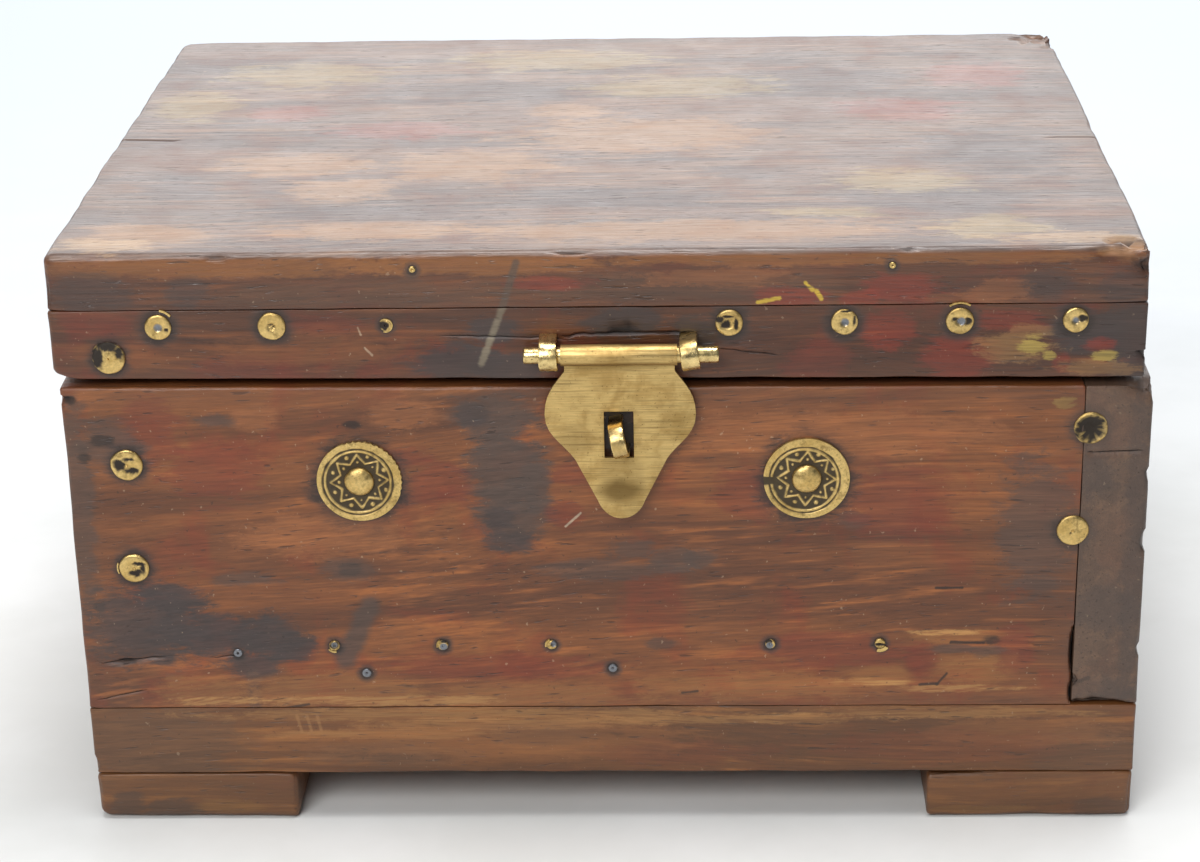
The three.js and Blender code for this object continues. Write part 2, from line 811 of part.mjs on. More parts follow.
// The origin is under the middle of everything, so the box is moved by half of what reaches out further.
const reachLeft = Math.max(bodyWidth / 2, -lidLeft);
const reachRight = Math.max(bodyWidth / 2, lidRight);
const reachFront = bodyDepth / 2 + Math.max(stapleReach, pinStandoff + strapRadius);
const reachBack = hingeLine + hingeBarrelRadius;
box.position.set((reachLeft - reachRight) / 2, (reachFront - reachBack) / 2, 0);

export default box;
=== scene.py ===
import json
import math
import bmesh
import bpy
from mathutils import Matrix, Vector, noise


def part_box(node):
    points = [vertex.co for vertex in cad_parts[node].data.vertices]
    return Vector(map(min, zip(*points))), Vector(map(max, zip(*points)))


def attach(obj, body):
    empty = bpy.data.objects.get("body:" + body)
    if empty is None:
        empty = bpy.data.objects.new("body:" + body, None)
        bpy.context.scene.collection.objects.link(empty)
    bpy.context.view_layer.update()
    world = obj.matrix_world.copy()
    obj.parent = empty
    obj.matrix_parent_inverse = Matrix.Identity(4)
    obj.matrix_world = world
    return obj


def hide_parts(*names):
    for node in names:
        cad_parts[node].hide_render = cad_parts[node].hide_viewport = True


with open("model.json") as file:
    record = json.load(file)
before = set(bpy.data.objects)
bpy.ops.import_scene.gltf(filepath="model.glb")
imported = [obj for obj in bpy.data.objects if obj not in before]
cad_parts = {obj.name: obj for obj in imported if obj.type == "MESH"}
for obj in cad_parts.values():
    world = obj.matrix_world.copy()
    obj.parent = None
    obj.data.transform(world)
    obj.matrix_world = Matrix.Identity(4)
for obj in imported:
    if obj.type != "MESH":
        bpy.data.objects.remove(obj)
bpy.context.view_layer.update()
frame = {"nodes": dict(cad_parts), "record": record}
mm = 0.001
scene = bpy.context.scene
scene.view_settings.view_transform = "Standard"
print("frame loaded:", len(frame["nodes"]), "pieces")


def tint(red, green, blue):
    # screen values, 0 to 255, as the linear colour that a shader takes
    def linear(value):
        value = value / 255
        return value / 12.92 if value <= 0.04045 else ((value + 0.055) / 1.055) ** 2.4
    return (linear(red), linear(green), linear(blue), 1)


class Level:
    # a shader socket that can be used in sums like a number
    def __init__(self, paint, socket):
        self.paint, self.socket = paint, socket

    def sum(self, operation, first, second=None, third=None):
        values = {i: v for i, v in enumerate((first, second, third)) if v is not None}
        return self.paint.node("Math", {"operation": operation}, values)

    def __add__(self, other): return self.sum("ADD", self, other)
    def __radd__(self, other): return self.sum("ADD", other, self)
    def __sub__(self, other): return self.sum("SUBTRACT", self, other)
    def __rsub__(self, other): return self.sum("SUBTRACT", other, self)
    def __mul__(self, other): return self.sum("MULTIPLY", self, other)
    def __rmul__(self, other): return self.sum("MULTIPLY", other, self)
    def __truediv__(self, other): return self.sum("DIVIDE", self, other)
    def __rtruediv__(self, other): return self.sum("DIVIDE", other, self)
    def abs(self): return self.sum("ABSOLUTE", self)
    def max(self, other): return self.sum("MAXIMUM", self, other)
    def min(self, other): return self.sum("MINIMUM", self, other)


class Paint:
    # one material and its nodes
    def __init__(self, name):
        self.material = bpy.data.materials.new(name)
        self.material.use_nodes = True
        self.tree = self.material.node_tree
        self.tree.nodes.clear()
        self.place = self.node("TexCoord", output="Object")

    def node(self, kind, settings=None, inputs=None, output=0):
        made = self.tree.nodes.new("ShaderNode" + kind)
        for key, value in (settings or {}).items():
            if key == "stops":
                ramp = made.color_ramp
                while len(ramp.elements) < len(value):
                    ramp.elements.new(0.5)
                for element, (position, colour) in zip(ramp.elements, value):
                    element.position = position
                    element.color = colour
            else:
                setattr(made, key, value)
        for key, value in (inputs or {}).items():
            if isinstance(value, Level):
                self.tree.links.new(value.socket, made.inputs[key])
            else:
                made.inputs[key].default_value = value
        return Level(self, made.outputs[output])

    def vector(self, operation, first, second=None, output=0):
        values = {0: first} if second is None else {0: first, 1: second}
        return self.node("VectorMath", {"operation": operation}, values, output)

    def axes(self, place=None):
        place = place or self.place
        return [self.node("SeparateXYZ", {}, {0: place}, output) for output in range(3)]

    def noise(self, scales, detail=3.0, roughness=0.55, distortion=0.0, shift=(0, 0, 0), place=None):
        # scales are repeats per metre along each axis
        moved = self.vector("ADD", place or self.place, shift)
        return self.node("TexNoise", {}, {
            "Vector": self.vector("MULTIPLY", moved, scales), "Scale": 1.0, "Detail": detail,
            "Roughness": roughness, "Distortion": distortion})

    def cells(self, scales, output="Distance", shift=(0, 0, 0)):
        moved = self.vector("ADD", self.place, shift)
        return self.node("TexVoronoi", {}, {"Vector": self.vector("MULTIPLY", moved, scales), "Scale": 1.0}, output)

    def painted(self, name):
        # a value that the modelling left on the mesh
        return self.node("Attribute", {"attribute_name": name}, output="Fac")

    def step(self, value, low, high):
        # 0 at low, 1 at high, smooth between them
        return self.node("MapRange", {"interpolation_type": "SMOOTHSTEP", "clamp": True},
                         {0: value, 1: low, 2: high, 3: 0.0, 4: 1.0})

    def mix(self, amount, first, second, blend="MIX"):
        return self.node("Mix", {"data_type": "RGBA", "blend_type": blend},
                         {0: amount, 6: first, 7: second}, output=2)

    def shade(self, colour, level):
        return self.node("VectorMath", {"operation": "SCALE"}, {0: colour, "Scale": level})

    def patch(self, centre, reach, ragged, lean=0, edge=0.3):
        # an oval patch with a ragged outline: 1 inside and 0 outside; lean turns it on the front, in degrees
        away = self.vector("SUBTRACT", self.place, centre)
        if lean:
            away = self.node("VectorRotate", {"rotation_type": "Y_AXIS"},
                             {"Vector": away, "Angle": math.radians(lean)})
        length = self.vector("LENGTH", self.vector("DIVIDE", away, reach), output="Value")
        return 1 - self.step(length + ragged, 1 - edge, 1 + edge)

    def line(self, start, end, width, ragged=0.0, edge=0.5):
        # a stroke from start to end: 1 on it and 0 away from it
        start, run = Vector(start), Vector(end) - Vector(start)
        away = self.vector("SUBTRACT", self.place, start)
        share = self.vector("DOT_PRODUCT", away, run / run.length_squared, "Value").max(0).min(1)
        off = self.vector("SUBTRACT", away, self.node("VectorMath", {"operation": "SCALE"}, {0: run, "Scale": share}))
        length = self.vector("LENGTH", off, output="Value") / width
        return 1 - self.step(length + ragged, 1 - edge, 1 + edge)

    def finish(self, values, bump=None, bumpDepth=0.001, bumpStrength=1.0):
        shader = self.tree.nodes.new("ShaderNodeBsdfPrincipled")
        for key, value in values.items():
            if isinstance(value, Level):
                self.tree.links.new(value.socket, shader.inputs[key])
            else:
                shader.inputs[key].default_value = value
        if bump is not None:
            rise = self.node("Bump", {}, {"Height": bump, "Distance": bumpDepth, "Strength": bumpStrength})
            self.tree.links.new(rise.socket, shader.inputs["Normal"])
        end = self.tree.nodes.new("ShaderNodeOutputMaterial")
        self.tree.links.new(shader.outputs[0], end.inputs["Surface"])
        return self.material


def addPiece(name, mesh, material, body, node=None):
    data = bpy.data.meshes.new(name)
    mesh.to_mesh(data)
    mesh.free()
    piece = bpy.data.objects.new(name, data)
    scene.collection.objects.link(piece)
    data.materials.append(material)
    for face in data.polygons:
        face.use_smooth = True
    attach(piece, body)
    if node:
        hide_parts(*([node] if isinstance(node, str) else node))
    return piece


# where a mark on the front or on the lid's top lies, in millimetres
frontY, lidTop = -106.8, 162.0


def onFront(x, z):
    return Vector((x, frontY, z)) * mm


def onTop(x, y):
    return Vector((x, y, lidTop)) * mm


def drawMarks(p, look, colour, ragged, fibres, onLid):
    # stains, paint left over, scratches and cracks, each with its own place
    dull = 0.0
    for mark in look.get("marks", []):
        top = mark.get("top", False)
        place = onTop if top else onFront
        if "to" in mark:
            cover = p.line(place(*mark["at"]), place(*mark["to"]), mark["wide"] * mm,
                           ragged * mark.get("ragged", 0.6), mark.get("edge", 0.5))
        else:
            reach = mark["reach"]
            reach = (reach[0], reach[1], 8) if top else (reach[0], 8, reach[1])
            cover = p.patch(place(*mark["at"]), Vector(reach) * mm, ragged * mark.get("ragged", 1.0),
                            mark.get("lean", 0), mark.get("edge", 0.3))
        amount = cover * mark.get("amount", 0.8)
        if "topTonesWithPaintedSheen" in look:
            amount = amount * (onLid if top else 1 - onLid)
        if mark.get("streaky"):
            amount = amount * (1 - p.step(fibres, 0.40, 0.62) * mark["streaky"])
        colour = p.mix(amount, colour, tint(*mark["tone"]))
        if mark.get("dull"):
            dull = cover * mark["dull"] + dull
    return colour, dull


def woodPaint(name, look, low, high):
    p = Paint(name)
    along = look["along"]
    cross = [axis for axis in range(3) if axis != along]
    seed = look["seed"]
    shift = (0.37 * seed, 0.21 * seed, 0.53 * seed)
    placeAxes = p.axes()

    def scales(alongScale, crossScale):
        return tuple(alongScale if axis == along else crossScale for axis in range(3))

    # the grain climbs and wanders a little across the board
    wander = (p.noise(scales(6, 16), 2, 0.5, 0, shift) - 0.5) * 0.014
    slopes = look.get("slopes", (0.02, -0.01))
    length = high[along] - low[along]
    run = placeAxes[along] - low[along]
    climb = run * (run * ((slopes[1] - slopes[0]) / (2 * length)) + slopes[0])
    offset = wander - climb
    bent = p.vector("ADD", p.place, p.node("CombineXYZ", {}, {axis: offset for axis in cross}))

    bands = p.noise(scales(3.5, 70), 4, 0.62, 0.5, shift, bent)
    streaks = p.noise(scales(20, 430), 3, 0.6, 0.2, shift, bent)
    fibres = p.noise(scales(60, 1500), 3, 0.6, 0.1, shift, bent)
    hairs = p.noise(scales(200, 3600), 1, 0.5, 0, shift, bent)
    pores = p.noise(scales(160, 1500), 1, 0.5, 0.0, shift, bent)
    clouds = p.noise((20, 20, 20), 5, 0.62, 0.5, shift)
    hazes = p.noise((55, 55, 55), 4, 0.6, 0.3, tuple(v + 3 for v in shift))
    specks = p.noise((700, 700, 700), 2, 0.6, 0.0, shift)
    ragged = (p.noise(scales(80, 240), 6, 0.78, 0.4, shift) - 0.5) * 2.6

    tones = look["tones"]
    colour = p.mix(p.step(bands, 0.36, 0.64), tint(*tones["dark"]), tint(*tones["mid"]))
    colour = p.mix(p.step(streaks * 0.6 + clouds * 0.4, 0.50, 0.66) * 0.7, colour, tint(*tones["light"]))
    colour = p.mix(p.step(hazes, 0.50, 0.68) * look.get("lacquer", 0.45), colour, tint(*tones["lacquer"]))
    colour = p.mix(p.step(clouds, 0.55, 0.75) * look.get("grey", 0.35), colour, tint(*tones["grey"]))
    onLid = 0.0
    if "topTonesWithPaintedSheen" in look:
        # the lid's top is paler than its edges: partly worn and dusty, partly a painted sheen that stands in for the
        # glare on it
        pale = look["topTonesWithPaintedSheen"]
        onLid = p.step(placeAxes[2] + (streaks - 0.5) * 0.002, 0.1602, 0.1614)
        worn = p.mix(p.step(bands, 0.40, 0.60), tint(*pale["dark"]), tint(*pale["mid"]))
        worn = p.mix(p.step(streaks * 0.5 + clouds * 0.5, 0.46, 0.66) * 0.7, worn, tint(*pale["light"]))
        worn = p.mix(p.step(hazes, 0.50, 0.70) * 0.45, worn, tint(*pale["lacquer"]))
        worn = p.mix(p.step(clouds, 0.52, 0.70) * 0.4, worn, tint(*pale["grey"]))
        colour = p.mix(onLid, colour, worn)
    colour, dull = drawMarks(p, look, colour, ragged, fibres, onLid)

    # fine grain, pores and specks
    colour = p.shade(colour, fibres * 1.05 + streaks * 0.62 + hairs * 0.33)
    poreMask = p.step(pores + hazes * 0.25, 0.46, 0.36)
    colour = p.mix(poreMask * 0.6, colour, tint(44, 27, 20))
    colour = p.mix(p.step(specks, 0.70, 0.76) * 0.35, colour, tint(186, 160, 130))
    colour = p.mix(p.step(specks, 0.30, 0.25) * 0.5, colour, tint(36, 24, 20))

    # raw wood where a corner is chipped, dirt in the cracks and along the edges
    raw, dirt = p.painted("raw"), p.painted("dirt")
    rawTone = p.mix(fibres, tint(150, 100, 60), tint(214, 168, 120))
    colour = p.mix(raw * (0.55 + ragged * 0.5).max(0).min(1), colour, rawTone)
    inside = None
    for axis in range(3):
        centre, half = (low[axis] + high[axis]) / 2, (high[axis] - low[axis]) / 2
        gap = half - (placeAxes[axis] - centre).abs()
        if axis == look.get("thin"):
            continue
        inside = gap if inside is None else inside.min(gap)
    wide = 1 - p.step(inside + ragged * 0.004, 0.001, 0.012)
    colour = p.mix(wide * look.get("edgeDirt", 0.35), colour, tint(*tones["grey"]))
    colour = p.mix(dirt.min(1), colour, tint(15, 11, 9))

    shine = look.get("rough", 0.42) + (fibres - 0.5) * 0.25 + (hazes - 0.5) * 0.3 + dull + dirt * 0.3
    bump = fibres * 0.5 + streaks * 0.5 + hairs * 0.2 - poreMask * 0.5 + hazes * 0.8
    return p.finish({"Base Color": colour, "Roughness": shine, "Specular IOR Level": look.get("gloss", 0.5)},
                    bump, look.get("bump", 0.00022))


def gridLines(low, high, step, extra):
    # places of the mesh lines along one axis, close together beside the arrises
    beside = (0, 0.12, 0.3, 0.55, 0.9, 1.4, 2.1, 3.0)
    count = max(int((high - low) / mm - 6) // step, 1) if (high - low) / mm > 8 else 1
    start, end = low + 3 * mm, high - 3 * mm
    places = [low + d * mm for d in beside] + [high - d * mm for d in beside]
    places += [start + (end - start) * i / count for i in range(1, int(count))]
    kept = []
    for value in sorted(extra) + sorted(places):
        if low - 1e-9 <= value <= high + 1e-9 and all(abs(value - other) > 0.00011 for other in kept):
            kept.append(value)
    return sorted(kept)


def makeBoard(node, body, look):
    # a sawn board: its arrises are worn round, its faces no longer quite flat, with cracks and chips
    low, high = (Vector(corner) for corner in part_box(node))
    cracks = look.get("cracks", [])
    extra = {0: [], 1: [], 2: []}
    for crack in cracks:
        middle = (crack["at"][1] + crack["to"][1]) / 2 * mm
        extra[crack.get("across", 2)] += [middle, middle - crack["wide"] * mm, middle + crack["wide"] * mm]
    lines = [gridLines(low[axis], high[axis], look.get("step", 2.6), extra[axis]) for axis in range(3)]

    mesh = bmesh.new()
    bmesh.ops.create_cube(mesh, size=1)
    for axis in range(3):
        edges = [edge for edge in mesh.edges
                 if abs((edge.verts[1].co - edge.verts[0].co).normalized()[axis]) > 0.999]
        bmesh.ops.subdivide_edges(mesh, edges=edges, cuts=len(lines[axis]) - 2, use_grid_fill=True)
    for v in mesh.verts:
        for axis in range(3):
            places = lines[axis]
            v.co[axis] = places[round((v.co[axis] + 0.5) * (len(places) - 1))]

    dirtLayer = mesh.verts.layers.float.new("dirt")
    rawLayer = mesh.verts.layers.float.new("raw")
    seed = Vector((look["seed"] * 1.7, 3.1, 0.4))
    eases = look.get("eases", {})
    for v in mesh.verts:
        co = v.co.copy()
        place = co * 1000
        sides = [-1 if co[axis] - low[axis] < high[axis] - co[axis] else 1 for axis in range(3)]
        gaps = [min(co[axis] - low[axis], high[axis] - co[axis]) for axis in range(3)]
        radius, weights, nearest = 0, 0, 1.0
        for a, b in ((0, 1), (1, 2), (0, 2)):
            toArris = math.hypot(gaps[a], gaps[b])
            weight = math.exp(-toArris / (1.5 * mm)) + 1e-9
            key = "".join("-+"[sides[axis] > 0] + "xyz"[axis] for axis in (a, b))
            radius += weight * eases.get(key, look.get("ease", 0.5))
            weights += weight
            nearest = min(nearest, toArris)
        radius = radius / weights * (1 + 0.45 * noise.noise(place * 0.045 + seed)) * mm
        core = Vector([min(max(co[axis], low[axis] + radius), high[axis] - radius) for axis in range(3)])
        out = (co - core).normalized()
        slow = noise.noise(place * 0.015 + seed)
        quick = noise.noise(place * 0.09 + seed)
        wear = math.exp(-nearest / (1.6 * mm)) * radius / mm * look.get("wear", 0.35)
        depth = (0.10 + 0.10 * slow + 0.04 * quick) * look.get("wavy", 1) + wear * max(quick + 0.1, 0)
        dirt = 0.0
        for crack in cracks:
            across = crack.get("across", 2)
            alongAxis = crack.get("run", 0)
            face = crack.get("face", (1, -1))
            if out[face[0]] * face[1] < 0.7:
                continue
            start, end = crack["at"][0] * mm, crack["to"][0] * mm
            share = (co[alongAxis] - start) / (end - start)
            if share < -0.05 or share > 1.05:
                continue
            middle = (crack["at"][1] + crack["to"][1]) / 2 * mm
            path = (crack["to"][1] - crack["at"][1]) * mm * (min(max(share, 0), 1) - 0.5)
            path += noise.noise(Vector((co[alongAxis] * 600, look["seed"], 5))) * 0.35 * mm
            away = (co[across] - middle) / (2.6 * mm)
            core[across] += path * math.exp(-away * away)
            if abs(co[across] - middle) < 0.00003:
                taper = min(1, share / 0.12, (1 - share) / 0.12)
                taper *= 0.65 + 0.6 * noise.noise(Vector((co[alongAxis] * 900, look["seed"], 9)))
                depth += max(taper, 0) * crack["deep"]
                dirt = max(dirt, min(max(taper * 1.8, 0), 1))
        raw = 0.0
        for chip in look.get("chips", []):
            away = Vector([(place[axis] - chip["at"][axis]) / chip["reach"][axis] for axis in range(3)]).length
            away += noise.noise(place * 0.35 + seed) * chip.get("ragged", 0.35)
            share = min(max((1 - away) / chip.get("edge", 0.5), 0), 1)
            depth += chip["deep"] * share
            raw = max(raw, share * chip.get("raw", 0))
            dirt = max(dirt, share * chip.get("dirt", 0))
        v[dirtLayer], v[rawLayer] = dirt, raw
        v.co = core + out * (radius - depth * mm)
    # the opening between lid and carcass grows towards one end, so the boards taper
    taper = look.get("taper")
    if taper:
        for v in mesh.verts:
            share = (v.co[taper["run"]] - low[taper["run"]]) / (high - low)[taper["run"]]
            loss = (taper["from"] + (taper["to"] - taper["from"]) * share) * mm
            height = (high.z - v.co.z) if taper["side"] < 0 else (v.co.z - low.z)
            v.co.z += loss * height / (high.z - low.z) * -taper["side"]
    mesh.normal_update()
    material = woodPaint(node.replace("_", " ").title().replace(" ", "") + "Wood", look, low, high)
    return addPiece(node.replace("_", "-"), mesh, material, body, node)


# the wood's colours, as they show under even light
redWood = {"dark": (94, 54, 30), "mid": (130, 76, 38), "light": (156, 92, 44), "lacquer": (122, 48, 26),
           "grey": (90, 64, 48)}
railWood = {"dark": (72, 40, 24), "mid": (102, 58, 32), "light": (130, 74, 36), "lacquer": (112, 40, 22),
            "grey": (72, 54, 44)}
baseWood = {"dark": (94, 56, 28), "mid": (130, 78, 36), "light": (162, 102, 46), "lacquer": (116, 56, 30),
            "grey": (88, 64, 44)}
endWood = {"dark": (86, 62, 46), "mid": (108, 80, 60), "light": (124, 92, 66), "lacquer": (112, 70, 50),
           "grey": (86, 70, 60)}
# the lid top's tones are paler and greyer than the rail's: partly worn and dusty, partly a painted sheen
topWoodWithPaintedSheen = {"dark": (92, 76, 70), "mid": (112, 88, 76), "light": (140, 108, 84), "lacquer": (116, 78, 66),
           "grey": (92, 84, 82)}
stainTone, smearTone, redTone, rawTone, inkTone = (76, 60, 52), (60, 50, 48), (112, 44, 28), (158, 104, 54), (30, 22, 18)


def ovals(tone, amount, *places, **more):
    # several patches of one tone: x, height (or depth, on the top), half width, half height
    return [{"at": place[:2], "reach": place[2:], "tone": tone, "amount": amount, **more} for place in places]


def strokes(tone, amount, wide, *runs, **more):
    return [{"at": run[:2], "to": run[2:], "wide": wide, "tone": tone, "amount": amount, **more} for run in runs]


frontMarks = (
    ovals(stainTone, 0.85, (-27, 117, 11, 8.5), (-25, 103, 10.5, 12), (-24, 90, 9.5, 9), (-17, 99, 4, 8))
    + ovals(smearTone, 0.7, (-24, 82.5, 7.5, 3), (-27, 89, 4, 3), (-33, 118, 4, 4))
    + ovals(stainTone, 0.65, (7, 80, 6, 3), (17, 76.5, 7, 3.6), (65, 88, 4, 2.6), (25, 77, 4, 2.5))
    + ovals(redTone, 0.5, (-43, 99, 8, 6), (-9, 101, 5, 3), (-10, 90, 5, 3.5), (-117, 113, 8, 9), (-100, 103, 12, 8),
            (77, 92, 14, 10), (38, 96, 8, 8), (-58, 106, 12, 4))
    + ovals((150, 92, 52), 0.55, (-90, 117.5, 7, 3.2), (-52, 118, 10, 4), (-74, 84, 22, 6), (60, 112, 40, 6))
    + ovals(stainTone, 0.7, (-99, 117, 5, 2), (-128, 110, 9, 7), (-137, 95, 4, 30), (112, 86, 10, 20))
    + ovals(inkTone, 0.75, (-129.8, 111.8, 3.4, 1.5), (-134.4, 106.8, 2, 1.4), (-64.3, 115.6, 2.6, 1.2),
            (-66.9, 74.5, 3.4, 2), (101.6, 53.3, 2.4, 1.4), (-137, 123, 1.6, 1.4), (-134, 64, 1.6, 1.4))
    + ovals(stainTone, 0.6, (-66.9, 74.5, 7, 3.6), (-95, 72, 10, 2), (0, 74, 18, 3))
    + ovals(smearTone, 0.85, (-122, 58, 17, 10.5), (-104, 55.5, 16, 6.5), (-90, 55, 10, 6), (-115, 67, 9, 5),
            (-94, 46.5, 8, 3.5), (-83, 52, 6, 4))
    + strokes(stainTone, 0.85, 2.7, (-62.2, 64, -69.6, 48.2)) + strokes(stainTone, 0.5, 1.6, (-94.5, 44, -94.5, 34))
    + ovals(rawTone, 0.6, (-72, 38.5, 24, 5.5), (-108, 39.5, 12, 4), (-20, 37, 30, 3.5), (72, 43, 9, 3),
            (92, 54.5, 10, 2), (99, 45, 12, 5), (40, 40, 30, 4), streaky=0.6)
    + ovals((198, 146, 84), 0.7, (-60, 36, 30, 1.4), (-104, 36, 12, 1.2), (70, 41, 10, 1), (90, 55.5, 9, 0.8),
            (94, 39, 16, 1), streaky=0.9)
    + ovals(redTone, 0.55, (83, 47, 4, 5), (60, 50, 18, 5), (-30, 46, 30, 4), (108, 50, 5, 8))
    + strokes(inkTone, 0.85, 0.4, (86.6, 68.4, 93.3, 68.4), (91, 52.6, 99.5, 52.4), (83, 40.2, 87.5, 40.5),
              (87.5, 40.2, 90, 43.4), (-86, 33.9, -80, 35), (20, 38, 24, 38.4), ragged=1.0)
    + ovals(stainTone, 0.6, (92, 50.6, 6, 1.2), (14.9, 52.5, 4, 1.6), (100.5, 50, 5, 1.4))
    + ovals((152, 122, 62), 0.55, (117, 120.4, 2.8, 1.6), ragged=1.8)
    + strokes((190, 174, 148), 0.6, 0.3, (-10, 86.6, -6, 90.4), ragged=1.0)
    # a near-black painted shadow on the front board round the staple, behind the hasp's slot
    + ovals((16, 12, 10), 0.95, (4.2, 113, 5.5, 8), ragged=0.3))

railMarks = (
    ovals(smearTone, 0.9, (-36, 132.5, 13, 5.5), (-24, 131, 10, 5), (-27, 141, 6.5, 4.5), (6, 143, 9, 4),
          (135, 137, 8, 12), (122, 140, 9, 6), (24, 140, 6, 5))
    + ovals((132, 42, 24), 0.55, (72, 140, 7, 5), (91, 133, 9, 6), (103, 142.6, 9, 3.4), (116.6, 131, 2.2, 2.4),
            (126.5, 136, 4, 1.8))
    + ovals(redTone, 0.5, (-90, 131, 14, 4), (-128, 143, 8, 3), (-70, 143, 12, 3), (55, 132, 8, 6))
    + ovals((152, 112, 66), 0.5, (104, 136, 9, 4.5), (125, 129.8, 8, 2), ragged=1.6)
    + ovals((128, 76, 40), 0.5, (-76, 136, 20, 5), (-122, 134, 9, 4))
    + ovals((170, 146, 68), 0.75, (109, 136, 3.2, 2.4), (113.5, 133, 1.6, 1.2), (127.5, 132.8, 3, 1.5), ragged=1.4)
    + strokes((128, 116, 96), 0.85, 0.95, (-24.6, 147, -30.4, 132), ragged=0.8)
    + strokes((196, 170, 140), 0.5, 0.3, (-61.5, 142, -60.8, 140), (-60, 136.5, -58.2, 134.6), ragged=1.2))

topMarks = (
    ovals((154, 96, 44), 0.75, (-95, 158.6, 46, 3), (-30, 158.8, 34, 2.8), (60, 159.6, 70, 2), streaky=0.45)
    + ovals((88, 62, 44), 0.5, (-60, 151, 40, 3.4), (20, 152, 40, 4))
    + ovals((136, 44, 24), 0.6, (75, 151, 10, 4), (66, 149, 5, 2.4), (48, 149.6, 9, 2.4), (-12, 153.5, 10, 1.8))
    + ovals(smearTone, 0.55, (-129, 152, 11, 5), (-104, 152, 5, 4), (112, 152, 7, 4), (132, 151, 7, 5))
    + ovals((152, 92, 50), 0.45, (100, 150.5, 8, 3), (30, 155, 16, 2.4), ragged=1.6)
    + strokes((88, 70, 56), 0.85, 0.9, (-20.8, 159, -24.6, 147), ragged=0.6)
    + strokes((214, 178, 52), 0.9, 0.5, (39.9, 148, 45.2, 149), (51.7, 153, 53.6, 151.2), (54.6, 150.8, 55.8, 148.8),
              ragged=1.6)
    + ovals((156, 118, 84), 0.75, (-71, -53, 14, 12), (-38, -31, 22, 14), (-86, -29, 20, 10), (8, -2, 34, 16),
            (-13, 24, 10, 8), (24, -90, 60, 9), (-60, -88, 24, 8), (-118, -92, 16, 10), top=True, ragged=1.3, streaky=0.35)
    + ovals((86, 74, 72), 0.75, (-64, -73, 32, 8), (8, -62, 26, 9), (91, -67, 24, 12), (40, -40, 14, 6),
            (109, -21, 20, 24), (-40, 45, 34, 14), (60, 55, 30, 16), (-116, -50, 10, 12), top=True, ragged=1.3, streaky=0.3)
    + ovals((164, 140, 88), 0.45, (-94, 68, 22, 14), (-17, 83, 30, 12), (-123, 34, 12, 16), (79, -49, 16, 10),
            (100, -90, 14, 8), (60, -76, 14, 4), (20, 50, 26, 12), top=True, ragged=1.6, streaky=0.3)
    + ovals((136, 72, 60), 0.5, (-95, 25, 12, 8), (84, 21, 16, 12), (-60, 5, 20, 8), (110, 60, 14, 14),
            top=True, ragged=1.4)
    + ovals((182, 148, 110), 0.7, (-126, -99, 12, 5), (120, -99, 18, 4), top=True, ragged=1.4, streaky=0.5))

baseMarks = (
    ovals((94, 66, 46), 0.6, (-124, 24, 24, 12), (-60, 20, 18, 4), (-20, 26, 14, 4), (128, 20, 14, 8))
    + ovals((190, 136, 76), 0.55, (-40, 31.6, 70, 2), (92, 31.8, 36, 1.6), (30, 30, 40, 1.5), (-60, 26, 30, 1.6),
            (-30, 29, 36, 2), streaky=0.8)
    + ovals((160, 100, 52), 0.5, (-30, 24, 50, 6), (110, 26, 26, 4), streaky=0.5)
    + strokes((178, 128, 76), 0.45, 0.45, (-83.5, 31.6, -82.4, 26.8), (-80.8, 31.6, -79.8, 27), (-78, 31.4, -77.2, 27.4))
    + ovals(redTone, 0.3, (90, 22, 30, 5), (20, 20, 22, 4)))

